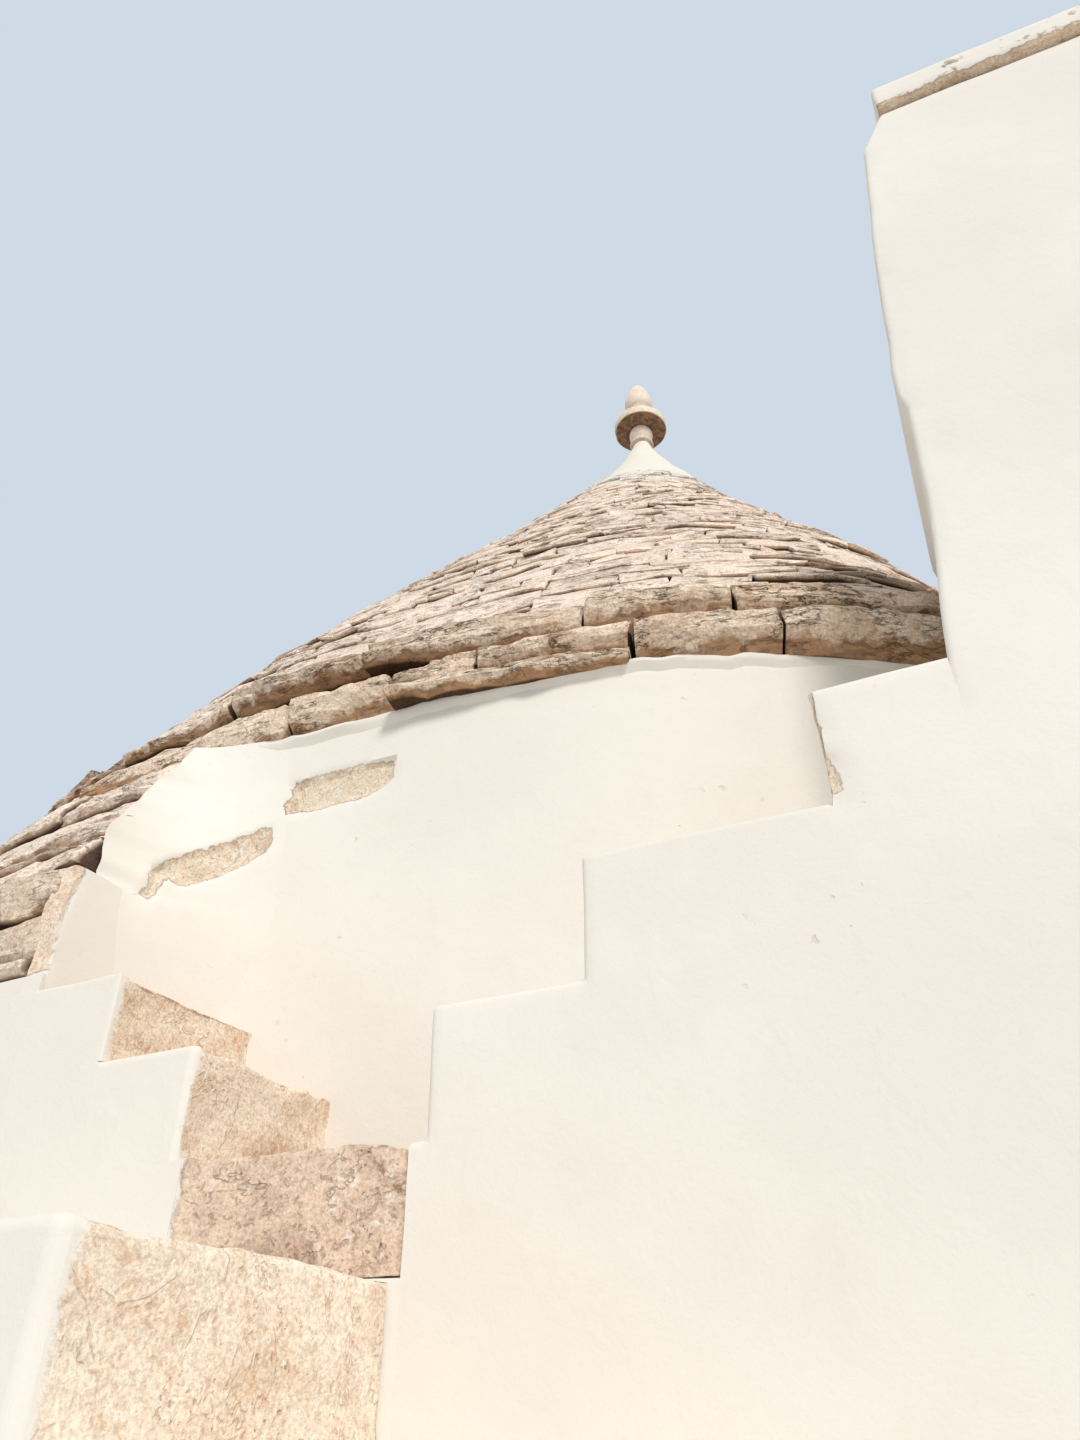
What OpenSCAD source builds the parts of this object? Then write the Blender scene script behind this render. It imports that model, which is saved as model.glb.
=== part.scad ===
// Trullo house of whitewashed dry stone with a corbelled cone roof, an outside
// stair and a tall annex with a flat roof. All sizes are in millimetres.
// The origin is on the axis of the cone at ground level. X runs to the right along
// the stepped front wall, Y runs away from that wall's front side and Z is up.

/* [House walls] */

// Width of the house over its outer faces, left to right
house_w = 4780; // [4680:20:4880]
// Depth of the house over its outer faces, front to back
house_d = 6160; // [6000:10:6250]
// Squareness of the rounded plan, where 2 is an ellipse
plan_power = 2.7; // [2.5:0.1:2.9]
// Thickness of the stone walls
wall_t = 800; // [700:10:900]
// Height of the walls from the ground to the eave
wall_h = 3210; // [3150:10:3280]
// Thickness of the paved floor
floor_t = 100; // [60:10:150]

/* [Doorway and window] */

// Clear width of the arched doorway
door_w = 1000; // [860:10:1100]
// Height of the doorway from the ground to the crown of its arch
door_h = 2150; // [2000:10:2250]
// Thickness of the plank door leaves
leaf_t = 45; // [30:1:60]
// Width of the window opening
window_w = 550; // [450:10:650]
// Height of the window opening
window_h = 600; // [450:10:700]
// Height of the window sill above the ground
window_sill = 1450; // [1300:10:1600]
// Width of the bars of the window frame
frame_bar = 60; // [40:2:80]
// Thickness of the window pane
pane_t = 8; // [5:1:12]

/* [Cone roof] */

// Overhang of the eave courses past the walls
eave_over = 70; // [50:5:90]
// Height of each of the two thick eave courses
eave_course_h = 110; // [95:5:130]
// Distance that the upper eave course stands out past the lower one
eave_out = 8; // [0:1:20]
// Distance that the course on top of the eave stands out past the slope
third_course_out = 60; // [40:5:80]
// Where the eave courses start to step back over the front left corner
eave_lean_x = -250; // [-320:10:-180]
// Rise from the eave to the point that the slopes aim at
cone_rise = 4600; // [4500:10:4700]
// Outward swell of the slopes as a share of the eave size
cone_bulge = 0.02; // [0:0.002:0.04]
// How late the slopes turn round, where 1 is evenly from eave to cap
round_power = 2.45; // [2:0.05:3]
// Rise from the eave to the foot of the white cap
cap_foot = 3670; // [3600:10:3740]
// Number of stone courses between the thick eave courses and the cap
course_count = 26; // [22:2:30]
// Radius of the slab that closes the inner dome
closing_r = 420; // [380:5:460]
// Share of the courses that lie below the closing slab
dome_share = 0.73; // [0.66:0.01:0.78]

/* [Cap and finial] */

// Height of the plastered cap from its foot to its neck
cap_h = 840; // [780:10:900]
// Radius of the cap at its foot
cap_r = 505; // [480:5:520]
// Radius of the neck on top of the cap
neck_r = 60; // [52:1:70]
// How hollow the flanks of the cap are, where 1 is straight
cap_flare = 1.2; // [1:0.05:1.5]
// Distance that the cap and finial stand to the right of the cone's axis
cap_off_x = 44; // [0:2:50]
// Distance that the cap and finial stand behind the cone's axis
cap_off_y = 18; // [0:2:30]
// Height of the turned stem under the disc
stem_h = 165; // [150:5:200]
// Distance that the ring and the bulb of the stem stand out past the neck
stem_out = 23; // [15:1:28]
// Radius of the finial disc
disc_r = 187; // [165:1:205]
// Thickness of the finial disc
disc_t = 78; // [65:1:90]
// Largest radius of the egg on top
egg_r = 102; // [90:1:112]
// Height of the egg with its short neck
egg_h = 460; // [420:5:500]

/* [Outside stair] */

// Level where both upper flights end
upper_level = 2710; // [2650:10:2780]
// Rise from the lower landing to the turning step
turn_rise = 200; // [180:5:220]
// First rise of the left flight, above the turning step
left_rise_1 = 205; // [190:5:220]
// Second rise of the left flight
left_rise_2 = 175; // [160:5:190]
// Last rise of the left flight, up to the level of the buttress
left_rise_3 = 300; // [280:5:320]
// Width of the left flight out from the house front
stair_w = 385; // [360:5:420]
// Width of the lower flight and its landing
lower_w = 510; // [450:10:560]
// Number of risers below the lower landing
lower_steps = 7; // [6:1:8]
// Depth of each tread of the lower flight
lower_tread = 280; // [250:5:300]
// Length of the lower landing to the left of its raw stone face
landing_l = 900; // [700:10:1100]
// Depth of each tread of the left flight
left_tread = 222; // [200:2:240]
// Distance that the lowest left riser turns out of square
riser_skew = 86; // [40:2:120]
// Second rise of the right flight
right_rise_2 = 230; // [215:5:245]
// Last rise of the right flight
right_rise_3 = 230; // [215:5:245]
// Depth of the right flight's first tread
right_tread_1 = 280; // [240:5:320]
// Depth of the right flight's second tread
right_tread_2 = 430; // [390:5:450]
// Height of the raw stone course on top of the left buttress
buttress_course_h = 260; // [200:5:300]

/* [Tall annex] */

// Height of the annex walls from the ground to the coping
annex_h = 4420; // [4300:10:4550]
// Depth of the annex from its front face to its rear face
annex_d = 3120; // [2900:10:3300]
// Width of the annex room
room_w = 1500; // [1300:10:1700]
// Thickness of the front wall of the annex
front_wall_t = 560; // [540:5:580]
// Thickness of the other annex walls
annex_wall_t = 500; // [420:10:560]
// Lean of the left edge of the tall front wall
batter = 148; // [100:4:200]
// Thickness of the flat roof slab
annex_roof_t = 150; // [120:5:180]
// Thickness of the coping stones
coping_t = 90; // [70:5:110]
// Overhang of the coping stones
coping_over = 30; // [15:5:40]
// Clear width of the annex doorway
annex_door_w = 850; // [760:10:900]
// Clear height of the annex doorway
annex_door_h = 2050; // [1950:10:2150]

/* [Hidden] */

// Colours of the finishes
whitewash = [0.97, 0.94, 0.90];
raw_stone = [0.88, 0.80, 0.67];
roof_stone = [0.78, 0.69, 0.60];
cap_plaster = [0.96, 0.94, 0.89];
finial_stone = [0.87, 0.78, 0.68];
paving = [0.72, 0.68, 0.60];
door_wood = [0.36, 0.27, 0.19];
pane_glass = [0.62, 0.72, 0.76];

// Plan of the house
plan_steps = 48;
arc_step = 360 / plan_steps;
wall_x = house_w / 2;
wall_y = house_d / 2;
room_x = wall_x - wall_t;
room_y = wall_y - wall_t;
far = 9000;

// Roof levels and sizes
eave_x = wall_x + eave_over;
eave_y = wall_y + eave_over;
round_r = 0.99 * eave_x;
cone_z0 = wall_h + 2 * eave_course_h;
cap_z = wall_h + cap_foot;
course_h = (cap_z - cone_z0) / course_count;
closing_course = round(course_count * dome_share);
closing_z = cone_z0 + round(2 * closing_course * course_h) / 2;
dome_hole_r = closing_r - 150;
closing_gap = 10;
neck_z = cap_z + cap_h;
disc_z = neck_z + stem_h;
egg_z = disc_z + disc_t;
skirt_steps = 4;
skirt_back = 600;
lean_steps = 3;
lean_run = 110;

// Stair levels, counted down from the level where both upper flights end
left_level_2 = upper_level - left_rise_3;
left_level_1 = left_level_2 - left_rise_2;
turn_level = left_level_1 - left_rise_1;
landing_level = turn_level - turn_rise;
right_level_2 = upper_level - right_rise_3;
right_level_1 = right_level_2 - right_rise_2;

// Stair lines seen from above
stair_gap = 340;
front_y = -wall_y - stair_gap;
flank_y = -wall_y - stair_w;
turn_left_x = 130;
turn_right_x = 540;
turn_nose = 25;
right_x1 = 568;
right_x2 = right_x1 + right_tread_1;
right_x3 = right_x2 + right_tread_2;
left_near_x = 100;
landing_near_x = 415;
landing_far_x = 533;
landing_front_y = flank_y - lower_w;

// Annex lines seen from above
annex_left_x = 1520;
side_x = eave_x + 32;
room_left_x = side_x + annex_wall_t;
room_right_x = room_left_x + room_w;
annex_right_x = room_right_x + annex_wall_t;
front_back_y = front_y + front_wall_t;
annex_rear_y = front_y + annex_d;
room_rear_y = annex_rear_y - annex_wall_t;
annex_door_x = room_left_x + annex_door_w;
coping_left_x = annex_left_x + batter + 45;

// Rounded plan with squared corners
function keep_sign_pow(v, p) = sign(v) * pow(abs(v), p);

function plan_point(a, hx, hy, n) =
    [hx * keep_sign_pow(cos(a), 2 / n), hy * keep_sign_pow(sin(a), 2 / n)];

function plan_loop(hx, hy, n) =
    [for (i = [0 : plan_steps - 1]) plan_point(i * arc_step, hx, hy, n)];

function plan_arc(i0, i1, hx, hy, n) =
    let (dir = i1 > i0 ? 1 : -1)
    [for (i = [i0 : dir : i1]) plan_point(i * arc_step, hx, hy, n)];

// Size and squareness of the cone at any height
function cone_share(z) =
    let (t = (z - wall_h) / cone_rise)
    (1 - t) + 4 * cone_bulge * t * (1 - t);

function round_share(z) = pow(min(1, max(0, (z - wall_h) / cap_foot)), round_power);

function cone_hx(z) = cone_share(z) * (eave_x + (round_r - eave_x) * round_share(z));

function cone_hy(z) = cone_share(z) * (eave_y + (round_r - eave_y) * round_share(z));

function cone_n(z) = plan_power + (2 - plan_power) * round_share(z);

// Size and squareness of the inner dome at any height up to the closing slab
function dome_share_at(z) = 1 - pow(min(1, max(0, (z - wall_h) / (closing_z - wall_h))), 1.7);

function dome_hx(z) = dome_hole_r + (room_x - dome_hole_r) * dome_share_at(z);

function dome_hy(z) = dome_hole_r + (room_y - dome_hole_r) * dome_share_at(z);

function dome_n(z) = 2 + (plan_power - 2) * dome_share_at(z);

function course_z(i) = cone_z0 + round(2 * i * course_h) / 2;

function skirt_z(j) = upper_level + round(2 * j * (wall_h - upper_level) / skirt_steps) / 2;

// Courses stand a little in and out of the slope, as laid stones do
function course_play(i) = 9 * sin(i * 137);

// Level of a tread of the lower flight counted from the ground
lower_top_riser = 250;
lower_rise = (landing_level - lower_top_riser) / lower_steps;

function lower_level(i) = i * lower_rise;

function left_near(i) = left_near_x - i * left_tread;

function left_far(i) = left_near(i) + riser_skew * (1 - 0.36 * i);

module house_block(z0, z1) {
    translate([0, 0, z0])
        linear_extrude(z1 - z0)
            polygon(plan_loop(wall_x, wall_y, plan_power));
}

module wall_segment(i0, i1, z0, z1) {
    outer = plan_arc(i0, i1, wall_x, wall_y, plan_power);
    inner = plan_arc(i1, i0, room_x, room_y, plan_power);
    translate([0, 0, z0])
        linear_extrude(z1 - z0)
            polygon(concat(outer, inner));
}

module box(x0, x1, y0, y1, z0, z1) {
    translate([x0, y0, z0])
        cube([x1 - x0, y1 - y0, z1 - z0]);
}

// Straight sides and round head of the doorway, drawn along Y
module doorway(w, crown, y0, y1) {
    spring = crown - w / 2;
    box(-w / 2, w / 2, y0, y1, -10, spring);
    translate([0, y1, spring])
        rotate([90, 0, 0])
            cylinder(h = y1 - y0, r = w / 2, $fn = 64);
}

module course_ring(z0, z1, outer_grow, inner_z) {
    mid = z0 + 0.3 * (z1 - z0);
    difference() {
        translate([0, 0, z0])
            linear_extrude(z1 - z0)
                polygon(plan_loop(cone_hx(mid) + outer_grow, cone_hy(mid) + outer_grow, cone_n(mid)));
        translate([0, 0, z0 - 5])
            linear_extrude(z1 - z0 + 10)
                polygon(plan_loop(dome_hx(inner_z), dome_hy(inner_z), dome_n(inner_z)));
    }
}

module solid_course(z0, z1, outer_grow) {
    mid = z0 + 0.3 * (z1 - z0);
    translate([0, 0, z0])
        linear_extrude(z1 - z0)
            polygon(plan_loop(cone_hx(mid) + outer_grow, cone_hy(mid) + outer_grow, cone_n(mid)));
}

// Eave course that steps back over the front left corner, where the slope of the cone
// runs on down into the skirt
module eave_ring(z0, z1, outer_grow, inner_z) {
    mid = z0 + 0.3 * (z1 - z0);
    difference() {
        course_ring(z0, z1, outer_grow, inner_z);
        for (k = [1 : lean_steps])
            difference() {
                grow = outer_grow * (1 - k / lean_steps);
                box(-far, eave_lean_x - (k - 1) * lean_run, -far, -skirt_back, z0 - 10, z1 + 10);
                translate([0, 0, z0 - 20])
                    linear_extrude(z1 - z0 + 40)
                        polygon(plan_loop(cone_hx(mid) + grow, cone_hy(mid) + grow, cone_n(mid)));
            }
    }
}

module ring_courses(i0, i1) {
    for (i = [i0 : i1 - 1])
        course_ring(course_z(i), course_z(i + 1), course_play(i), course_z(i + 1));
}

// Floor of flagstones, carried out through the doorway as its threshold
module floor_paving() {
    color(paving)
        union() {
            linear_extrude(floor_t)
                polygon(plan_loop(room_x, room_y, plan_power));
            intersection() {
                box(-door_w / 2, door_w / 2, room_y - 200, wall_y, 0, floor_t);
                house_block(0, floor_t);
            }
        }
}

module front_wall() {
    color(whitewash)
        wall_segment(31, 41, 0, wall_h);
}

module right_wall() {
    color(whitewash)
        wall_segment(-7, 7, 0, wall_h);
}

module rear_right_wall() {
    color(whitewash)
        difference() {
            wall_segment(7, 12, 0, wall_h);
            box(-100, door_w / 2, 0, far, -10, far);
        }
}

module rear_left_wall() {
    color(whitewash)
        difference() {
            wall_segment(12, 17, 0, wall_h);
            box(-door_w / 2, 100, 0, far, -10, far);
        }
}

// Masonry over the doorway with the round head of the arch cut from it
module door_head_wall() {
    color(whitewash)
        difference() {
            intersection() {
                wall_segment(8, 16, door_h - door_w / 2, wall_h);
                box(-door_w / 2, door_w / 2, 0, far, 0, far);
            }
            doorway(door_w, door_h, room_y - 100, wall_y + 100);
        }
}

module left_rear_wall() {
    color(whitewash)
        difference() {
            wall_segment(17, 24, 0, wall_h);
            box(-far, 0, -100, window_w / 2, -10, far);
        }
}

module left_front_wall() {
    color(whitewash)
        difference() {
            wall_segment(24, 31, 0, wall_h);
            box(-far, 0, -window_w / 2, 100, -10, far);
        }
}

module window_sill_wall() {
    color(whitewash)
        intersection() {
            wall_segment(21, 27, 0, window_sill);
            box(-far, 0, -window_w / 2, window_w / 2, -10, far);
        }
}

module window_head_wall() {
    color(whitewash)
        intersection() {
            wall_segment(21, 27, window_sill + window_h, wall_h);
            box(-far, 0, -window_w / 2, window_w / 2, -10, far);
        }
}

// Plank leaf that reaches up to the spring of the arch, folded back flat on the
// side of the deep doorway
module plank_leaf(side) {
    hinge_y = wall_y - 90;
    leaf_w = door_w / 2 - 20;
    x0 = side * (door_w / 2 - leaf_t / 2) - leaf_t / 2;
    box(x0, x0 + leaf_t, hinge_y - leaf_w, hinge_y, floor_t + 10, door_h - door_w / 2 - 10);
}

module door_leaf_left() {
    color(door_wood)
        plank_leaf(-1);
}

module door_leaf_right() {
    color(door_wood)
        plank_leaf(1);
}

module window_frame() {
    color(door_wood)
        translate([-wall_x + 160, 0, window_sill])
            difference() {
                box(0, frame_bar, -window_w / 2, window_w / 2, 0, window_h);
                box(-10, frame_bar + 10, -window_w / 2 + frame_bar, window_w / 2 - frame_bar,
                    frame_bar, window_h - frame_bar);
            }
}

module window_pane() {
    color(pane_glass)
        translate([-wall_x + 160 + frame_bar / 2, 0, window_sill])
            box(-pane_t / 2, pane_t / 2, -window_w / 2 + frame_bar, window_w / 2 - frame_bar,
                frame_bar, window_h - frame_bar);
}

module eave_course_lower() {
    color(roof_stone)
        course_ring(wall_h, wall_h + eave_course_h, 0, wall_h + eave_course_h);
}

module eave_course_upper() {
    slope_in = cone_hx(wall_h + 0.3 * eave_course_h) - cone_hx(wall_h + 1.3 * eave_course_h);
    upper_out = slope_in + eave_out;
    color(roof_stone)
        eave_ring(wall_h + eave_course_h, cone_z0, upper_out, cone_z0);
}

module cone_lower() {
    color(roof_stone)
        union() {
            eave_ring(course_z(0), course_z(1), third_course_out, course_z(1));
            ring_courses(1, round(closing_course / 3));
        }
}

module cone_middle() {
    color(roof_stone)
        ring_courses(round(closing_course / 3), round(closing_course * 2 / 3));
}

module cone_upper() {
    color(roof_stone)
        ring_courses(round(closing_course * 2 / 3), closing_course);
}

// Solid courses above the dome, with a pocket for the closing slab
module cone_top() {
    color(roof_stone)
        difference() {
            union() {
                for (i = [closing_course : course_count - 1])
                    solid_course(course_z(i), course_z(i + 1), course_play(i));
            }
            translate([0, 0, closing_z - 5])
                cylinder(h = course_z(closing_course + 1) - closing_z + 5,
                    r = closing_r + closing_gap, $fn = 48);
        }
}

module closing_slab() {
    color(roof_stone)
        translate([0, 0, closing_z])
            cylinder(h = course_z(closing_course + 1) - closing_z, r = closing_r, $fn = 48);
}

// Plastered cap with slightly hollow flanks that sweep up to a narrow neck
module cone_cap() {
    steps = 12;
    lip = 30;
    flank = [for (i = [0 : steps])
        let (u = i / steps)
        [neck_r + (cap_r - neck_r) * pow(1 - u, cap_flare), lip + (cap_h - lip) * u]];
    color(cap_plaster)
        translate([cap_off_x, cap_off_y, cap_z])
            rotate_extrude($fn = 64)
                polygon(concat([[0, 0], [cap_r, 0]], flank, [[0, cap_h]]));
}

// Turned stem with a ring at its foot and a round bulb under the disc
module finial_stem() {
    ring_h = 0.26 * stem_h;
    bulb_z = 0.32 * stem_h;
    steps = 8;
    ring = [for (i = [0 : steps])
        [neck_r + stem_out * sin(180 * i / steps), ring_h * i / steps]];
    bulb = [for (i = [0 : steps])
        let (u = i / steps)
        [neck_r + stem_out * sin(160 * u), bulb_z + (stem_h - bulb_z) * u]];
    color(finial_stone)
        translate([cap_off_x, cap_off_y, neck_z])
            rotate_extrude($fn = 48)
                polygon(concat([[0, 0]], ring, bulb, [[0, stem_h]]));
}

module finial_disc() {
    steps = 10;
    edge_r = 0.42 * disc_t;
    rim = [for (i = [0 : steps])
        let (a = -90 + 180 * i / steps)
        [disc_r - edge_r + edge_r * cos(a), edge_r + edge_r * sin(a)]];
    color(finial_stone)
        translate([cap_off_x, cap_off_y, disc_z])
            rotate_extrude($fn = 48)
                polygon(concat([[0, 0]], rim, [[egg_r, disc_t], [0, disc_t]]));
}

// Egg with a pointed top, standing on a short neck
module finial_egg() {
    steps = 16;
    foot_r = 0.86 * egg_r;
    waist_r = 0.7 * egg_r;
    egg_foot = 0.34 * egg_h;
    side = [for (i = [0 : steps])
        let (u = 0.13 + 0.87 * i / steps)
        [egg_r * pow(sin(180 * pow(u, 0.84)), 0.72), egg_foot + (egg_h - egg_foot) * (u - 0.13) / 0.87]];
    color(finial_stone)
        translate([cap_off_x, cap_off_y, egg_z])
            rotate_extrude($fn = 48)
                polygon(concat([[0, 0], [foot_r, 0], [foot_r, 0.06 * egg_h], [waist_r, 0.16 * egg_h],
                    [waist_r, 0.3 * egg_h]], side));
}

// Plan of the thicker wall at the front left corner, outside the house wall
module corner_crescent(grow, z0, z1, right_x) {
    difference() {
        intersection() {
            translate([0, 0, z0])
                linear_extrude(z1 - z0)
                    polygon(plan_loop(wall_x + grow, wall_y + grow, plan_power));
            box(-far, right_x, -far, -skirt_back, z0, z1);
        }
        house_block(z0 - 10, z1 + 10);
    }
}

// Lower courses that carry the cone on down over the front left corner
module roof_skirt() {
    color(roof_stone)
        union() {
            for (j = [0 : skirt_steps - 1])
                corner_crescent(eave_over + (stair_w - eave_over) * (1 - (j + 0.25) / skirt_steps),
                    skirt_z(j), skirt_z(j + 1), left_near(2) - 12 * (j + 1));
        }
}

module buttress_end_cut(z0, z1) {
    translate([0, 0, z0 - 10])
        linear_extrude(z1 - z0 + 20)
            polygon([[left_near(2), flank_y - 200], [far, flank_y - 200],
                [far, 0], [left_far(2), 0], [left_far(2), -wall_y + 20],
                [left_near(2), flank_y]]);
}

module left_buttress() {
    color(whitewash)
        difference() {
            corner_crescent(stair_w, 0, upper_level - buttress_course_h, 0);
            buttress_end_cut(0, upper_level);
        }
}

module buttress_course() {
    color(raw_stone)
        difference() {
            corner_crescent(stair_w, upper_level - buttress_course_h, upper_level, 0);
            buttress_end_cut(0, upper_level);
        }
}

// Plan of the left flight from the buttress to the turning step
module flight_plan(near_x, far_x) {
    polygon([[left_near(2), flank_y], [near_x, flank_y], [far_x, -wall_y + 100],
        [far_x, -wall_y + 300], [left_far(2), -wall_y + 300], [left_far(2), -wall_y + 20]]);
}

module turn_plan() {
    polygon([[turn_left_x, flank_y - turn_nose], [turn_right_x, front_y],
        [turn_right_x, -wall_y + 300], [turn_left_x, -wall_y + 300]]);
}

// Mass of masonry that carries the left flight and the turning step
module stair_base() {
    color(whitewash)
        difference() {
            union() {
                linear_extrude(landing_level)
                    turn_plan();
                linear_extrude(turn_level)
                    flight_plan(turn_left_x, turn_left_x);
            }
            house_block(-10, far);
            buttress_cut_for_base();
        }
}

// The buttress stands outside this line, so the base stops there
module buttress_cut_for_base() {
    translate([0, 0, -10])
        linear_extrude(far)
            polygon([[left_near(2), flank_y - 200], [-far, flank_y - 200], [-far, 0],
                [left_far(2), 0], [left_far(2), -wall_y + 20], [left_near(2), flank_y]]);
}

module turning_step() {
    color(raw_stone)
        difference() {
            translate([0, 0, landing_level])
                linear_extrude(turn_level - landing_level)
                    turn_plan();
            house_block(-10, far);
        }
}

module left_step(z0, z1, near_x, far_x) {
    difference() {
        translate([0, 0, z0])
            linear_extrude(z1 - z0)
                flight_plan(near_x, far_x);
        house_block(-10, far);
        buttress_cut_for_base();
    }
}

module left_step_lower() {
    color(raw_stone)
        left_step(turn_level, left_level_1, left_near(0), left_far(0));
}

module left_step_upper() {
    color(raw_stone)
        left_step(left_level_1, left_level_2, left_near(1), left_far(1));
}

// Big block of the lower landing, with its raw face turned to the right
module landing_block() {
    color(raw_stone)
        difference() {
            linear_extrude(landing_level)
                polygon([[landing_near_x - landing_l, landing_front_y],
                    [landing_near_x, landing_front_y], [landing_far_x, front_y],
                    [landing_near_x - landing_l, front_y]]);
            linear_extrude(far)
                turn_plan();
            linear_extrude(far)
                flight_plan(turn_left_x, turn_left_x);
            corner_crescent(stair_w, -10, far, 0);
            house_block(-10, far);
        }
}

// Steps from the ground up to the lower landing
module lower_flight() {
    end_x = landing_far_x + lower_steps * lower_tread;
    top = [for (i = [lower_steps : -1 : 1])
        let (x = landing_far_x + (lower_steps - i) * lower_tread)
        each [[x, lower_level(i)], [x + lower_tread, lower_level(i)]]];
    color(whitewash)
        union() {
            translate([0, front_y, 0])
                rotate([90, 0, 0])
                    linear_extrude(front_y - landing_front_y)
                        polygon(concat([[end_x, 0], [landing_far_x, 0]], top));
            linear_extrude(lower_level(lower_steps))
                polygon([[landing_near_x, landing_front_y], [landing_far_x + 5, landing_front_y],
                    [landing_far_x + 5, front_y], [landing_far_x, front_y]]);
        }
}

// Wall whose top climbs to the right in three steps, against the house front
module right_flight() {
    profile = [[turn_right_x, 0], [annex_left_x, 0], [annex_left_x, upper_level],
        [right_x3, upper_level], [right_x3, right_level_2], [right_x2, right_level_2],
        [right_x2, right_level_1], [right_x1, right_level_1], [right_x1, turn_level],
        [turn_right_x, turn_level]];
    color(whitewash)
        difference() {
            translate([0, front_y + 1000, 0])
                rotate([90, 0, 0])
                    linear_extrude(1000)
                        polygon(profile);
            house_block(-10, far);
        }
}

// Masonry between the round house wall and the straight annex walls
module corner_fill() {
    color(whitewash)
        difference() {
            box(annex_left_x, side_x, front_back_y, annex_rear_y, 0, wall_h);
            house_block(-10, far);
        }
}

// Tall front wall with a leaning left edge and a cut top corner
module annex_front_wall() {
    lean_top = annex_h - 130;
    profile = [[annex_left_x, 0], [annex_right_x, 0], [annex_right_x, annex_h],
        [coping_left_x + 20, annex_h], [annex_left_x + batter, lean_top],
        [annex_left_x, upper_level]];
    color(whitewash)
        translate([0, front_back_y, 0])
            rotate([90, 0, 0])
                linear_extrude(front_wall_t)
                    polygon(profile);
}

module annex_left_wall() {
    color(whitewash)
        box(side_x, room_left_x, front_back_y, annex_rear_y, 0, annex_h - annex_roof_t);
}

module annex_right_wall() {
    color(whitewash)
        box(room_right_x, annex_right_x, front_back_y, annex_rear_y, 0, annex_h - annex_roof_t);
}

module annex_rear_wall() {
    color(whitewash)
        box(annex_door_x, room_right_x, room_rear_y, annex_rear_y, 0, annex_h - annex_roof_t);
}

module annex_door_head() {
    color(whitewash)
        box(room_left_x, annex_door_x, room_rear_y, annex_rear_y, annex_door_h,
            annex_h - annex_roof_t);
}

module annex_roof() {
    color(whitewash)
        box(side_x, annex_right_x, front_back_y, annex_rear_y, annex_h - annex_roof_t, annex_h);
}

// Ring of rough coping stones round the flat roof
module annex_coping() {
    z0 = annex_h;
    z1 = annex_h + coping_t;
    color(raw_stone)
        union() {
            box(coping_left_x, annex_right_x + coping_over, front_y - coping_over,
                front_y + 420, z0, z1);
            box(side_x - coping_over, side_x + 300, front_y + 420, annex_rear_y + coping_over,
                z0, z1);
            box(annex_right_x - 300, annex_right_x + coping_over, front_y + 420,
                annex_rear_y + coping_over, z0, z1);
            box(side_x + 300, annex_right_x - 300, annex_rear_y - 300,
                annex_rear_y + coping_over, z0, z1);
        }
}

module annex_floor() {
    color(paving)
        union() {
            box(room_left_x, room_right_x, front_back_y, room_rear_y, 0, floor_t);
            box(room_left_x, annex_door_x, room_rear_y, annex_rear_y, 0, floor_t);
        }
}

// Narrow plank leaf folded back on the left side of the annex doorway
module annex_door_leaf() {
    color(door_wood)
        box(room_left_x, room_left_x + leaf_t, annex_rear_y - 60 - annex_door_w + 30,
            annex_rear_y - 60, floor_t + 10, annex_door_h - 15);
}

floor_paving();
front_wall();
right_wall();
rear_right_wall();
door_head_wall();
rear_left_wall();
left_rear_wall();
window_sill_wall();
window_head_wall();
left_front_wall();
door_leaf_left();
door_leaf_right();
window_frame();
window_pane();
eave_course_lower();
eave_course_upper();
cone_lower();
cone_middle();
cone_upper();
cone_top();
closing_slab();
cone_cap();
finial_stem();
finial_disc();
finial_egg();
roof_skirt();
left_buttress();
buttress_course();
stair_base();
turning_step();
left_step_lower();
left_step_upper();
landing_block();
lower_flight();
right_flight();
corner_fill();
annex_front_wall();
annex_left_wall();
annex_right_wall();
annex_rear_wall();
annex_door_head();
annex_roof();
annex_coping();
annex_floor();
annex_door_leaf();
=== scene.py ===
import math

import bmesh
import bpy
import numpy as np
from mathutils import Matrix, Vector


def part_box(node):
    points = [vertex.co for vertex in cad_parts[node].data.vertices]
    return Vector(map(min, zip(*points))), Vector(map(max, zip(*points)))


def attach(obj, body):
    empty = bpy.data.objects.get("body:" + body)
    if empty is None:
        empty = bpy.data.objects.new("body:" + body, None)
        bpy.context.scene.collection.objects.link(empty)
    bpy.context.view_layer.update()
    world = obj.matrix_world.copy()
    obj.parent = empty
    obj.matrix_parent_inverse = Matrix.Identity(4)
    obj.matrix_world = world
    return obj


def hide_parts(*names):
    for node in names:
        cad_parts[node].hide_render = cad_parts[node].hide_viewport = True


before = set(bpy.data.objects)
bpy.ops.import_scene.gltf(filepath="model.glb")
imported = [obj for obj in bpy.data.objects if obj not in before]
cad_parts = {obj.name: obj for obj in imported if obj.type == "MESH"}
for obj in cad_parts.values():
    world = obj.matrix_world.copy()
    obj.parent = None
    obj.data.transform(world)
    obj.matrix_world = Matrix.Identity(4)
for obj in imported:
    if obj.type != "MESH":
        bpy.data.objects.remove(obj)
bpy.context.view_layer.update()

# The photographer stands at the foot of the stair, beside the stepped wall, and looks
# up past the steps at the cone. The eye is 1.55 m above the ground.
eye = (1.469, -4.988, 1.55)
look_up = 36
turned_left = 24
camera_data = bpy.data.cameras.new("camera")
camera_data.sensor_width = 36
camera_data.lens = 27.07
camera = bpy.data.objects.new("camera", camera_data)
camera.location = eye
camera.rotation_euler = (math.radians(90 + look_up), 0, math.radians(turned_left))
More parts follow.
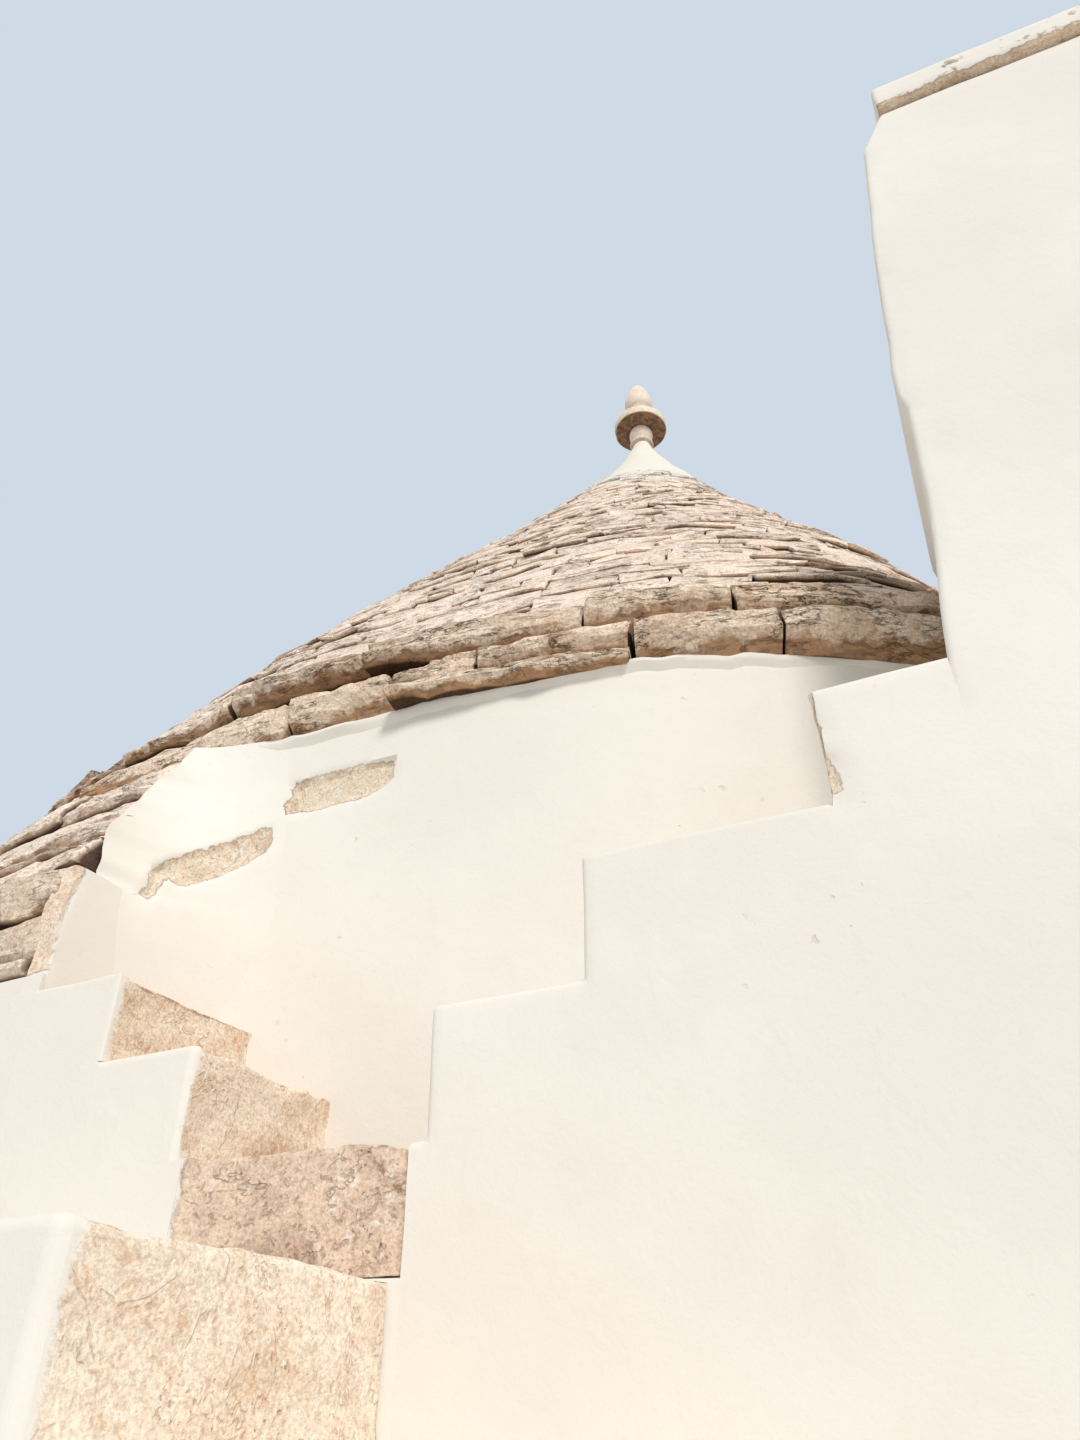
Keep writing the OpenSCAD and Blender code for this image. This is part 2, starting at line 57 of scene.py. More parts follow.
bpy.context.scene.collection.objects.link(camera)
bpy.context.scene.camera = camera
bpy.context.scene.view_settings.view_transform = "Standard"

# Studio for the house: a pale floor, a soft lamp that stands high to the right of the
# stair, as the sun does there, and an even pale surround.
half_floor = 60
floor_mesh = bpy.data.meshes.new("studio_floor")
floor_corners = [(half_floor * x, half_floor * y, 0) for x, y in ((-1, -1), (1, -1), (1, 1), (-1, 1))]
floor_mesh.from_pydata(floor_corners, [], [(0, 1, 2, 3)])
studio_floor = bpy.data.objects.new("studio_floor", floor_mesh)
bpy.context.scene.collection.objects.link(studio_floor)
studio_floor.location.z = -0.004

floor_material = bpy.data.materials.new("studio_floor")
floor_material.use_nodes = True
floor_paint = floor_material.node_tree.nodes["Principled BSDF"]
floor_paint.inputs["Base Color"].default_value = (0.66, 0.66, 0.65, 1)
floor_paint.inputs["Roughness"].default_value = 0.9
floor_mesh.materials.append(floor_material)

toward_lamp = Vector((0.50, -0.80, 0.72))
lamp_data = bpy.data.lights.new("soft_key_lamp", "SUN")
lamp_data.energy = 2.05
lamp_data.angle = math.radians(12)
lamp_data.color = (1.0, 0.97, 0.92)
lamp = bpy.data.objects.new("soft_key_lamp", lamp_data)
lamp.rotation_euler = toward_lamp.to_track_quat("Z", "Y").to_euler()
bpy.context.scene.collection.objects.link(lamp)

surround = bpy.data.worlds.new("surround")
bpy.context.scene.world = surround
surround.use_nodes = True
sky = surround.node_tree
sky.nodes.clear()
fill_light = sky.nodes.new("ShaderNodeBackground")
fill_light.inputs["Color"].default_value = (0.95, 0.975, 1.0, 1)
fill_light.inputs["Strength"].default_value = 0.58
seen_light = sky.nodes.new("ShaderNodeBackground")
seen_light.inputs["Color"].default_value = (0.62, 0.70, 0.79, 1)
seen_light.inputs["Strength"].default_value = 1.0
light_path = sky.nodes.new("ShaderNodeLightPath").outputs
seen_rays = light_path["Is Camera Ray"]
for ray in ("Is Glossy Ray", "Is Transmission Ray"):
    either = sky.nodes.new("ShaderNodeMath")
    either.operation = "MAXIMUM"
    sky.links.new(seen_rays, either.inputs[0])
    sky.links.new(light_path[ray], either.inputs[1])
    seen_rays = either.outputs[0]
surround_mix = sky.nodes.new("ShaderNodeMixShader")
surround_out = sky.nodes.new("ShaderNodeOutputWorld")
sky.links.new(seen_rays, surround_mix.inputs["Fac"])
sky.links.new(fill_light.outputs[0], surround_mix.inputs[1])
sky.links.new(seen_light.outputs[0], surround_mix.inputs[2])
sky.links.new(surround_mix.outputs[0], surround_out.inputs["Surface"])

# House walls: one thick ring of rubble masonry on a rounded plan, limewashed inside and
# out in many coats. The lime hides the stones but follows their swells, and it has
# come off two stones at the front.
wall_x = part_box("right_wall")[1].x
wall_y = -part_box("front_wall")[0].y
wall_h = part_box("front_wall")[1].z
floor_low, floor_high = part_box("floor_paving")
room_x = floor_high.x
room_y = -floor_low.y
floor_t = floor_high.z
door_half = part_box("door_head_wall")[1].x
door_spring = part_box("door_head_wall")[0].z
window_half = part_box("window_sill_wall")[1].y
window_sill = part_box("window_sill_wall")[1].z
window_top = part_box("window_head_wall")[0].z
plan_power = 2.7

# Mark of a place that lies well under whole lime
covered = -0.2


def grain(points, size, seed):
    """Smooth noise from -1 to 1 at the points, with swells about as wide as size."""
    seed_step = 31.7
    clear_of_zero = 1000.0
    mixers = (73856093, 19349663, 83492791)
    stirrer = 1274126177
    place = points / np.asarray(size, float) + seed_step * seed + clear_of_zero
    cell = np.floor(place).astype(np.int64)
    part = place - cell
    part = part * part * (3 - 2 * part)
    total = 0
    for corner in np.ndindex(2, 2, 2):
        key = cell + np.array(corner)
        mixed = key[..., 0] * mixers[0] ^ key[..., 1] * mixers[1] ^ key[..., 2] * mixers[2]
        mixed = (mixed ^ (mixed >> 13)) * stirrer
        value = ((mixed >> 7) & 0xFFFF) / 32767.5 - 1
        share = np.prod(np.where(corner, part, 1 - part), axis=-1)
        total = total + value * share
    return total


def layered_grain(points, *layers):
    """Sum of noises, each given as its height, size and seed."""
    return sum(height * grain(points, size, seed) for height, size, seed in layers)


def smooth_step(value, low, high):
    """0 below low, 1 above high, and a smooth rise between them."""
    share = np.clip((value - low) / (high - low), 0, 1)
    return share * share * (3 - 2 * share)


def plan_curve(half_x, half_y, power, count=1440):
    """Points of a rounded rectangle, anticlockwise from +X, evenly spaced, and their outward
    directions."""
    angle = np.linspace(0, 2 * math.pi, 4 * count + 1)
    x = half_x * np.sign(np.cos(angle)) * np.abs(np.cos(angle)) ** (2 / power)
    y = half_y * np.sign(np.sin(angle)) * np.abs(np.sin(angle)) ** (2 / power)
    run = np.concatenate([[0], np.cumsum(np.hypot(np.diff(x), np.diff(y)))])
    even = np.linspace(0, run[-1], count + 1)
    x = np.interp(even, run, x)
    y = np.interp(even, run, y)
    out_x = np.abs(x / half_x) ** (power - 1) * np.sign(x) / half_x
    out_y = np.abs(y / half_y) ** (power - 1) * np.sign(y) / half_y
    reach = np.hypot(out_x, out_y)
    return np.stack([x, y], 1), np.stack([out_x / reach, out_y / reach], 1), run[-1]


def lime_swell(points):
    """How far limewashed masonry swells out of true at each point, the same for every piece, so
    that coats run on from one piece to the next."""
    move = np.zeros_like(points)
    for axis in range(3):
        move[:, axis] = layered_grain(points, (0.0045, 0.62, 11 + axis), (0.0028, 0.21, 21 + axis),
                                      (0.0010, 0.075, 31 + axis))
    return move


def limit_mark(depth, most=0.2):
    """Keeps the depth inside bare stone, below zero under lime, within the span materials read."""
    return np.clip(depth, covered, most)


def mesh_piece(name, mesh, replaced, material):
    """Puts a finished mesh into the scene as a piece of the house."""
    piece = bpy.data.objects.new(name, mesh)
    bpy.context.scene.collection.objects.link(piece)
    mesh.materials.append(material)
    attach(piece, "root")
    if replaced:
        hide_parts(*replaced)
    return piece


def read_vectors(vectors, kind):
    flat = np.zeros(len(vectors) * 3)
    vectors.foreach_get(kind, flat)
    return flat.reshape(-1, 3)


def coordinates(mesh):
    return read_vectors(mesh.vertices, "co")


def shade(mesh, sharp):
    """Smooth shading that breaks at edges sharper than an angle in degrees."""
    mesh.shade_smooth()
    mesh.set_sharp_from_angle(angle=math.radians(sharp))


def solid_mesh(name, solid):
    """Mesh of a solid, which is used up."""
    mesh = bpy.data.meshes.new(name)
    solid.to_mesh(mesh)
    solid.free()
    return mesh


def close_round(solid, rings):
    """Faces between closed rings of points that lie one above the other."""
    for lower, upper in zip(rings, rings[1:]):
        for i in range(len(lower)):
            j = (i + 1) % len(lower)
            solid.faces.new((lower[i], lower[j], upper[j], upper[i]))


def round_faces(rings, around):
    """The same faces as numbers, for rings of points kept one after the other."""
    steps = range(around)
    corners = [(low * around, high * around, i, (i + 1) % around) for low, high in rings for i in steps]
    return [(low + i, low + j, high + j, high + i) for low, high, i, j in corners]


def mark(mesh, name, values):
    """Keeps one number a vertex under a name that the materials read."""
    layer = mesh.attributes.new(name, "FLOAT", "POINT")
    layer.data.foreach_set("value", np.asarray(values, np.float32))


def prism(outline, low, high, axis="Z"):
    """Closed solid between low and high on an axis, over an outline given anticlockwise."""
    solid = bmesh.new()
    rings = []
    for level in (low, high):
        if axis == "Z":
            rings.append([solid.verts.new((x, y, level)) for x, y in outline])
        else:
            rings.append([solid.verts.new((x, level, z)) for x, z in outline])
    solid.faces.new(rings[0][::-1])
    solid.faces.new(rings[1])
    close_round(solid, rings)
    bmesh.ops.recalc_face_normals(solid, faces=solid.faces)
    return solid


def rectangle(x0, x1, y0, y1):
    return [(x0, y0), (x1, y0), (x1, y1), (x0, y1)]


def box_solid(x0, x1, y0, y1, z0, z1):
    return prism(rectangle(x0, x1, y0, y1), z0, z1)


# How near to a face an edge is taken to lie on it
near_face = 0.01


def soften(solid, radius, keep=lambda middle: True):
    """Rounds the sharp edges whose middle point keep() picks, as coats of lime do."""
    least_angle = 0.5
    edges = []
    for edge in solid.edges:
        if len(edge.link_faces) == 2 and edge.calc_face_angle(0) > least_angle:
            middle = (edge.verts[0].co + edge.verts[1].co) / 2
            if keep(middle):
                edges.append(edge)
    bmesh.ops.bevel(solid, geom=edges, offset=radius, segments=3, profile=0.5, affect="EDGES",
                    clamp_overlap=True)


def slice_up(solid, xs, ys, zs):
    """Cuts the faces along planes, so that they have points enough to swell and chip."""
    for axis, places in enumerate((xs, ys, zs)):
        across = Vector((axis == 0, axis == 1, axis == 2))
        for place in places:
            everything = solid.verts[:] + solid.edges[:] + solid.faces[:]
            bmesh.ops.bisect_plane(solid, geom=everything, dist=0.0002,
                                   plane_co=across * float(place), plane_no=across)


def boolean_mesh(name, body, cutters):
    """Mesh of the body with the cutters' shapes taken out."""
    mesh = solid_mesh(name, body)
    for cutter in cutters:
        whole = bpy.data.objects.new("cut_body", mesh)
        tool = bpy.data.objects.new("cut_tool", solid_mesh("cut_tool", cutter))
        bpy.context.scene.collection.objects.link(whole)
        bpy.context.scene.collection.objects.link(tool)
        cut = whole.modifiers.new("cut", "BOOLEAN")
        cut.operation = "DIFFERENCE"
        cut.solver = "EXACT"
        cut.object = tool
        bpy.context.view_layer.update()
        evaluated = whole.evaluated_get(bpy.context.evaluated_depsgraph_get())
        mesh = bpy.data.meshes.new_from_object(evaluated)
        bpy.data.objects.remove(whole)
        bpy.data.objects.remove(tool)
    mesh.name = name
    return mesh


def finish_masonry(name, mesh, replaced, material, bare_at=None, recess=0.010):
    """Swells the limewash, sinks and roughens what is bare, and puts the piece in place."""
    points = coordinates(mesh)
    outward = read_vectors(mesh.vertex_normals, "vector")
    bare = np.full(len(points), covered) if bare_at is None else bare_at(points)
    uncovered = smooth_step(bare, -0.006, 0.012)
    rough = layered_grain(points, (0.007, (0.10, 0.10, 0.05), 41), (0.005, 0.038, 42), (0.003, 0.017, 43))
    moved = points + lime_swell(points)
    moved += outward * (uncovered * (rough - recess))[:, None]
    moved[:, 2] = np.maximum(moved[:, 2], np.minimum(points[:, 2], 0.0))
    mesh.vertices.foreach_set("co", moved.ravel())
    mark(mesh, "bare", bare)
    shade(mesh, 35)
    mesh.update()
    return mesh_piece(name, mesh, replaced, material)


def fill(tree, place, value):
    """Feeds a node's input from a socket, a colour or a number."""
    if isinstance(value, bpy.types.NodeSocket):
        tree.links.new(value, place)
    elif isinstance(value, tuple):
        place.default_value = (*value, 1)
    elif value is not None:
        place.default_value = value


def noise_texture(tree, vector, scale, detail=4.0, roughness=0.55, distortion=0.0):
    texture = tree.nodes.new("ShaderNodeTexNoise")
    texture.inputs["Scale"].default_value = scale
    texture.inputs["Detail"].default_value = detail
    texture.inputs["Roughness"].default_value = roughness
    texture.inputs["Distortion"].default_value = distortion
    tree.links.new(vector, texture.inputs["Vector"])
    return texture.outputs["Fac"]


def spread(tree, value, low, high, to_low=0.0, to_high=1.0):
    """Stretches the stretch from low to high of a value to a new range, with soft ends."""
    ramp = tree.nodes.new("ShaderNodeMapRange")
    ramp.interpolation_type = "SMOOTHSTEP"
    ramp.inputs["From Min"].default_value = low
    ramp.inputs["From Max"].default_value = high
    ramp.inputs["To Min"].default_value = to_low
    ramp.inputs["To Max"].default_value = to_high
    tree.links.new(value, ramp.inputs["Value"])
    return ramp.outputs["Result"]


def blend_colour(tree, share, first, second, way="MIX"):
    """Blends two colours, each a socket or a fixed colour, by a share that is a socket or a
    number."""
    mix = tree.nodes.new("ShaderNodeMix")
    mix.data_type = "RGBA"
    mix.blend_type = way
    fill(tree, mix.inputs[0], share)
    fill(tree, mix.inputs[6], first)
    fill(tree, mix.inputs[7], second)
    return mix.outputs[2]


def shade_by(tree, tone, factor):
    """A colour times another colour or a number."""
    return blend_colour(tree, 1.0, tone, factor, "MULTIPLY")


def arithmetic(tree, way, first, second=None, third=None):
    """One sum on values, each a socket or a number."""
    node = tree.nodes.new("ShaderNodeMath")
    node.operation = way
    for value, place in zip((first, second, third), node.inputs):
        fill(tree, place, value)
    return node.outputs[0]


def times(tree, first, second):
    return arithmetic(tree, "MULTIPLY", first, second)


def away_from(tree, value, middle):
    """Distance of a value from a middle one."""
    return arithmetic(tree, "ABSOLUTE", arithmetic(tree, "SUBTRACT", value, middle))


def add_relief(tree, height, *layers):
    """Adds values to a height, each by its own factor."""
    for value, factor in layers:
        height = arithmetic(tree, "MULTIPLY_ADD", value, factor, height)
    return height


def new_group(name, colours, numbers):
    """Group with a place, colours and numbers going in, and the looks of a surface coming out."""
    group = bpy.data.node_groups.new(name, "ShaderNodeTree")
    group.interface.new_socket(name="Position", in_out="INPUT", socket_type="NodeSocketVector")
    for kind, defaults in (("NodeSocketColor", colours), ("NodeSocketFloat", numbers)):
        for label, default in defaults.items():
            made = group.interface.new_socket(name=label, in_out="INPUT", socket_type=kind)
            made.default_value = default
    for label, kind in (("Color", "NodeSocketColor"), ("Roughness", "NodeSocketFloat"),
                        ("Height", "NodeSocketFloat")):
        group.interface.new_socket(name=label, in_out="OUTPUT", socket_type=kind)
    entry = group.nodes.new("NodeGroupInput")
    leave = group.nodes.new("NodeGroupOutput")
    return group, entry.outputs, leave.inputs


def place_group(tree, group, **values):
    node = tree.nodes.new("ShaderNodeGroup")
    node.node_tree = group
    for label, value in values.items():
        fill(tree, node.inputs[label], value)
    return node.outputs


lime_group, lime_in, lime_out = new_group(
    "lime coat", {"Lime": (0.90, 0.865, 0.80, 1), "Stain": (0.70, 0.58, 0.42, 1)}, {})
at = lime_in["Position"]
cloud = spread(lime_group, noise_texture(lime_group, at, 1.3, 5.0, 0.6), 0.30, 0.75)
brush = noise_texture(lime_group, at, 9.0, 6.0, 0.62, 0.4)
fine = noise_texture(lime_group, at, 120.0, 3.0, 0.6)
flake = spread(lime_group, noise_texture(lime_group, at, 34.0, 3.0, 0.5), 0.705, 0.745)
flake_gate = spread(lime_group, noise_texture(lime_group, at, 2.1, 2.0, 0.5), 0.52, 0.66)
flake = times(lime_group, flake, flake_gate)
tone = blend_colour(lime_group, cloud, (0.93, 0.925, 0.92), (1.0, 1.0, 1.0))
tone = shade_by(lime_group, lime_in["Lime"], tone)
tone = blend_colour(lime_group, spread(lime_group, brush, 0.55, 0.85, 0.0, 0.16), tone, lime_in["Stain"])
tone = blend_colour(lime_group, times(lime_group, flake, 0.45), tone, lime_in["Stain"])
lime_group.links.new(tone, lime_out["Color"])
lime_group.links.new(spread(lime_group, brush, 0.2, 0.8, 0.82, 0.96), lime_out["Roughness"])
relief = add_relief(lime_group, times(lime_group, brush, 0.0035), (fine, 0.0006), (flake, -0.0012))
lime_group.links.new(relief, lime_out["Height"])

stone_group, stone_in, stone_out = new_group(
    "bare limestone",
    {"Pale": (0.85, 0.75, 0.60, 1), "Warm": (0.66, 0.46, 0.28, 1), "Dark": (0.30, 0.22, 0.16, 1),
     "Lichen": (0.92, 0.88, 0.78, 1)},
    {"Warmth": 0.5, "Pitting": 1.0})
at = stone_in["Position"]
patch = noise_texture(stone_group, at, 7.0, 6.0, 0.65, 0.6)
mottle = noise_texture(stone_group, at, 38.0, 6.0, 0.68, 0.3)
grit = noise_texture(stone_group, at, 170.0, 4.0, 0.6)
hole = noise_texture(stone_group, at, 88.0, 3.0, 0.6)
seam = noise_texture(stone_group, at, 3.4, 5.0, 0.62, 1.1)
drift = noise_texture(stone_group, at, 2.6, 3.0, 0.55)
fleck = noise_texture(stone_group, at, 62.0, 5.0, 0.72, 0.5)
warm_share = times(stone_group, spread(stone_group, patch, 0.44, 0.70), stone_in["Warmth"])
tone = blend_colour(stone_group, warm_share, stone_in["Pale"], stone_in["Warm"])
lichen_share = times(stone_group, spread(stone_group, mottle, 0.52, 0.66, 0.0, 0.75),
                     spread(stone_group, drift, 0.38, 0.62, 0.35, 1.0))
tone = blend_colour(stone_group, lichen_share, tone, stone_in["Lichen"])
fleck_share = times(stone_group, spread(stone_group, fleck, 0.38, 0.50, 0.80, 0.0),
                    spread(stone_group, patch, 0.34, 0.62, 0.35, 1.0))
tone = blend_colour(stone_group, fleck_share, tone, stone_in["Warm"])
pit = times(stone_group, spread(stone_group, hole, 0.28, 0.36, 1.0, 0.0),
            spread(stone_group, drift, 0.46, 0.60))
vein = spread(stone_group, away_from(stone_group, seam, 0.5), 0.002, 0.012, 0.55, 0.0)
vein = times(stone_group, vein, spread(stone_group, mottle, 0.42, 0.58))
tone = blend_colour(stone_group, vein, tone, stone_in["Warm"])
tone = blend_colour(stone_group, times(stone_group, pit, 0.50), tone, stone_in["Dark"])
tone = shade_by(stone_group, tone, spread(stone_group, grit, 0.32, 0.66, 0.82, 1.12))
stone_group.links.new(tone, stone_out["Color"])
stone_group.links.new(spread(stone_group, mottle, 0.3, 0.7, 0.97, 0.84), stone_out["Roughness"])
relief = add_relief(stone_group, times(stone_group, mottle, 0.006), (patch, 0.012), (grit, 0.0013),
                    (fleck, 0.0032), (pit, -0.003), (vein, -0.004))
stone_group.links.new(times(stone_group, relief, stone_in["Pitting"]), stone_out["Height"])


def start_material(name):
    """Empty material with its Principled shader and the place on the object."""
    material = bpy.data.materials.new(name)
    material.use_nodes = True
    tree = material.node_tree
    shader = tree.nodes["Principled BSDF"]
    shader.inputs["Specular IOR Level"].default_value = 0.18
    place = tree.nodes.new("ShaderNodeTexCoord").outputs["Object"]
    return material, tree, shader, place


def read_mark(tree, name):
    node = tree.nodes.new("ShaderNodeAttribute")
    node.attribute_name = name
    return node.outputs["Fac"]


def raise_relief(tree, shader, height, strength=1.0):
    bump = tree.nodes.new("ShaderNodeBump")
    bump.inputs["Strength"].default_value = strength
    bump.inputs["Distance"].default_value = 1.0
    tree.links.new(height, bump.inputs["Height"])
    tree.links.new(bump.outputs["Normal"], shader.inputs["Normal"])


def blend_number(tree, share, first, second):
    mix = tree.nodes.new("ShaderNodeMix")
    for label, value in (("Factor", share), ("A", first), ("B", second)):
        tree.links.new(value, mix.inputs[label])
    return mix.outputs["Result"]


def masonry_material(name, pale, warm, dark, warmth, lime=(0.90, 0.865, 0.80), feather=0.0020,
                     edge_shade_share=0.35):
    """Limewash that gives way to bare limestone where the mark 'bare' is above zero."""
    material, tree, shader, place = start_material(name)
    coat = place_group(tree, lime_group, Position=place, Lime=lime, Stain=(0.70, 0.58, 0.42))
    stone = place_group(tree, stone_group, Position=place, Pale=pale, Warm=warm, Dark=dark,
                        Warmth=warmth)
    fray = spread(tree, noise_texture(tree, place, 38.0, 5.0, 0.6), 0.2, 0.8, -0.006, 0.006)
    edge = arithmetic(tree, "ADD", read_mark(tree, "bare"), fray)
    uncovered = spread(tree, edge, -feather, feather)
    tone = blend_colour(tree, uncovered, coat["Color"], stone["Color"])
    # Thin dark line along the edge of the lime: partly dirt, partly painted shadow of the lime's lip on the
    # bare stone.
    rim = spread(tree, away_from(tree, edge, 0.0015), 0.0005, 0.0035, edge_shade_share, 0.0)
    tone = blend_colour(tree, rim, tone, dark)
    tree.links.new(tone, shader.inputs["Base Color"])
    rough = blend_number(tree, uncovered, coat["Roughness"], stone["Roughness"])
    tree.links.new(rough, shader.inputs["Roughness"])
    coat_height = arithmetic(tree, "ADD", coat["Height"], 0.004)
    raise_relief(tree, shader, blend_number(tree, uncovered, coat_height, stone["Height"]), 0.8)
    return material


wall_material = masonry_material("limewashed masonry", (0.85, 0.73, 0.58), (0.66, 0.47, 0.33),
                                 (0.34, 0.24, 0.17), 0.6)


def ring_solid():
    """The wall ring as a fine grid, finer at the front, where the stair passes close by."""
    outer = plan_curve(wall_x, wall_y, plan_power)[0]
    inner = plan_curve(room_x, room_y, plan_power)[0]
    near = (outer[:, 1] < -2.4) & (np.abs(outer[:, 0]) < 1.6)
    picks = [i for i in range(len(outer) - 1) if i % 2 == 0 and (near[i] or i % 6 == 0)]
    levels = np.concatenate([np.arange(0, 2.0, 0.09), np.arange(2.0, 2.9, 0.03),
                             np.arange(2.9, wall_h, 0.016), [wall_h]])
    levels = np.unique(np.round(levels, 4))
    solid = bmesh.new()
    out_rings = [[solid.verts.new((*outer[i], z)) for i in picks] for z in levels]
    in_levels = np.append(np.arange(0, wall_h - 0.05, 0.12), wall_h)
    in_rings = [[solid.verts.new((*inner[i], z)) for i in picks[::2]] for z in in_levels]
    count = len(picks)
    half = len(picks[::2])
    close_round(solid, out_rings)
    close_round(solid, in_rings)
    for end, flip in ((0, True), (-1, False)):
        outside = out_rings[end]
        inside = in_rings[end]
        for i in range(half):
            j = (i + 1) % half
            corners = [outside[2 * i], outside[(2 * i + 1) % count]]
            if 2 * i + 1 < count:
                corners.append(outside[(2 * i + 2) % count])
            corners += [inside[j], inside[i]]
            corners = list(dict.fromkeys(corners))
            solid.faces.new(corners[::-1] if flip else corners)
    bmesh.ops.recalc_face_normals(solid, faces=solid.faces)
    return solid


def arch_outline(half, foot, spring, steps=24):
    turn = [math.pi * i / steps for i in range(steps + 1)]
    head = [(half * math.cos(a), spring + half * math.sin(a)) for a in turn]
    return [(-half, foot), (half, foot)] + head


cut_past = 0.4
door_cut = prism(arch_outline(door_half, -0.2, door_spring), room_y - cut_past, wall_y + cut_past, "Y")
window_cut = box_solid(-wall_x - cut_past, -room_x + cut_past, -window_half, window_half, window_sill,
                       window_top)
house_mesh = boolean_mesh("house_walls", ring_solid(), [door_cut, window_cut])

# Corners of the two stones at the front that have lost their lime: how far along the wall,
# counted on over the plaster that sweeps forward, and the level
upper_patch = [
    (-0.090, 3.072), (0.047, 3.076), (0.214, 3.066), (0.222, 3.007), (0.183, 2.983), (0.125, 2.976),
    (0.060, 2.974), (-0.011, 2.974), (-0.059, 2.981), (-0.100, 2.982), (-0.099, 3.021), (-0.084, 3.039)]
lower_patch = [
    (-0.132, 2.950), (-0.126, 2.902), (-0.138, 2.877), (-0.174, 2.859), (-0.209, 2.839), (-0.271, 2.810),
    (-0.356, 2.779), (-0.407, 2.760), (-0.424, 2.770), (-0.449, 2.779), (-0.458, 2.749), (-0.483, 2.708),
    (-0.543, 2.708), (-0.525, 2.721), (-0.503, 2.746), (-0.500, 2.780), (-0.491, 2.801), (-0.442, 2.835),
    (-0.357, 2.876), (-0.292, 2.903), (-0.226, 2.926), (-0.173, 2.945)]


def inside_depth(x, z, outline):
    """Distance in from the outline's edge, above zero inside it."""
    nearest = np.full(x.shape, 1e9)
    inside = np.zeros(x.shape, bool)
    for (x0, z0), (x1, z1) in zip(outline, outline[1:] + outline[:1]):
        span_x = x1 - x0
        span_z = z1 - z0
        share = np.clip(((x - x0) * span_x + (z - z0) * span_z) / (span_x ** 2 + span_z ** 2), 0, 1)
        nearest = np.minimum(nearest, np.hypot(x - x0 - share * span_x, z - z0 - share * span_z))
        crosses = (z0 > z) != (z1 > z)
        span = span_z if abs(span_z) > 1e-9 else 1e-9
        inside ^= crosses & (x < x0 + span_x * (z - z0) / span)
    return np.where(inside, nearest, -nearest)


def front_bare(points):
    along = points[:, 0] + np.minimum(0, points[:, 1] + wall_y)
    depth = np.maximum(inside_depth(along, points[:, 2], upper_patch),
                       inside_depth(along, points[:, 2], lower_patch))
    depth = depth + 0.003 * grain(points, 0.04, 51)
    return np.where(points[:, 1] < -wall_y + 0.5, limit_mark(depth), covered)


finish_masonry("house_walls", house_mesh,
               ["front_wall", "right_wall", "rear_right_wall", "door_head_wall", "rear_left_wall",
                "left_rear_wall", "window_sill_wall", "window_head_wall", "left_front_wall"],
               wall_material, front_bare, recess=0.014)

# Stepped wall and tall wall: one limewashed face that climbs to the right in three steps
# and goes on up as the front of the annex, with a leaning left edge.
flight_low, flight_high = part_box("right_flight")
tall_low, tall_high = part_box("annex_front_wall")
face_y = tall_low.y
tall_left = tall_low.x
tall_right = tall_high.x
tall_top = tall_high.z
upper_level = flight_high.z
turn_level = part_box("turning_step")[1].z
flight_left = flight_low.x
right_riser = 0.568
right_treads = (0.280, 0.430)
right_rises = (0.230, 0.230)
batter = 0.148
top_cut = (0.045, 0.130)
edge_radius = 0.012
seen_from = 1.45
unseen_levels = np.arange(0.1, 1.4, 0.12)
first_x = right_riser + right_treads[0]
second_x = first_x + right_treads[1]
second_level = upper_level - right_rises[1]
first_level = second_level - right_rises[0]
step_outline = [(flight_left, 0), (tall_left, 0), (tall_left, upper_level), (second_x, upper_level),
                (second_x, second_level), (first_x, second_level), (first_x, first_level),
                (right_riser, first_level), (right_riser, turn_level), (flight_left, turn_level)]
stepped_wall = prism(step_outline, face_y, -wall_y + 0.55, "Y")
soften(stepped_wall, edge_radius,
       lambda m: m.z > turn_level - near_face and m.x < tall_left - near_face and m.y < -wall_y + 0.4)
slice_up(stepped_wall, np.arange(flight_left + 0.02, tall_left, 0.035),
         np.arange(face_y + 0.04, -wall_y + 0.5, 0.08),
         np.concatenate([unseen_levels, np.arange(seen_from, upper_level, 0.035)]))
stepped_mesh = solid_mesh("stepped_wall", stepped_wall)


def stepped_bare(points):
    """The corner stone of the top step shows in a sliver that widens downward."""
    fall = np.clip((upper_level - points[:, 2]) / (upper_level - second_level), -0.2, 1.15)
    width = 0.006 + 0.030 * fall ** 1.5 * (fall > 0) + 0.006 * grain(points, 0.05, 52)
    depth = width - (points[:, 0] - second_x)
    within = (points[:, 2] < upper_level - 0.01) & (points[:, 2] > second_level - 0.005)
    return np.where(within & (points[:, 0] < second_x + 0.1), limit_mark(depth, 0.05), covered)


finish_masonry("stepped_wall", stepped_mesh, ["right_flight"], wall_material, stepped_bare)

lean_top = tall_top - top_cut[1]
tall_outline = [(tall_left, 0), (tall_right, 0), (tall_right, tall_top),
                (tall_left + batter + top_cut[0] + 0.02, tall_top), (tall_left + batter, lean_top),
                (tall_left, upper_level)]
tall_wall = prism(tall_outline, face_y, tall_high.y, "Y")
soften(tall_wall, edge_radius,
       lambda m: (m.z > upper_level + 0.05 and m.x < tall_right - 0.1)
       or (m.x > tall_right - near_face and m.y < face_y + near_face))
slice_up(tall_wall,
         np.concatenate([np.arange(tall_left + 0.03, 2.7, 0.04), np.arange(2.8, tall_right, 0.14)]),
         np.arange(face_y + 0.06, tall_high.y, 0.12),
         np.concatenate([unseen_levels, np.arange(seen_from, tall_top, 0.04)]))
tall_mesh = solid_mesh("tall_wall", tall_wall)
tall_points = coordinates(tall_mesh)
edge_reach = smooth_step(tall_points[:, 2], upper_level, upper_level + 0.2)
edge_reach = edge_reach * smooth_step(2.4 - tall_points[:, 0], 0.0, 0.7)
edge_height = tall_points * (0, 0, 1)
tall_points[:, 0] += edge_reach * 0.016 * grain(edge_height, 0.42, 61)
tall_points[:, 0] += edge_reach * 0.006 * grain(edge_height, 0.12, 62)
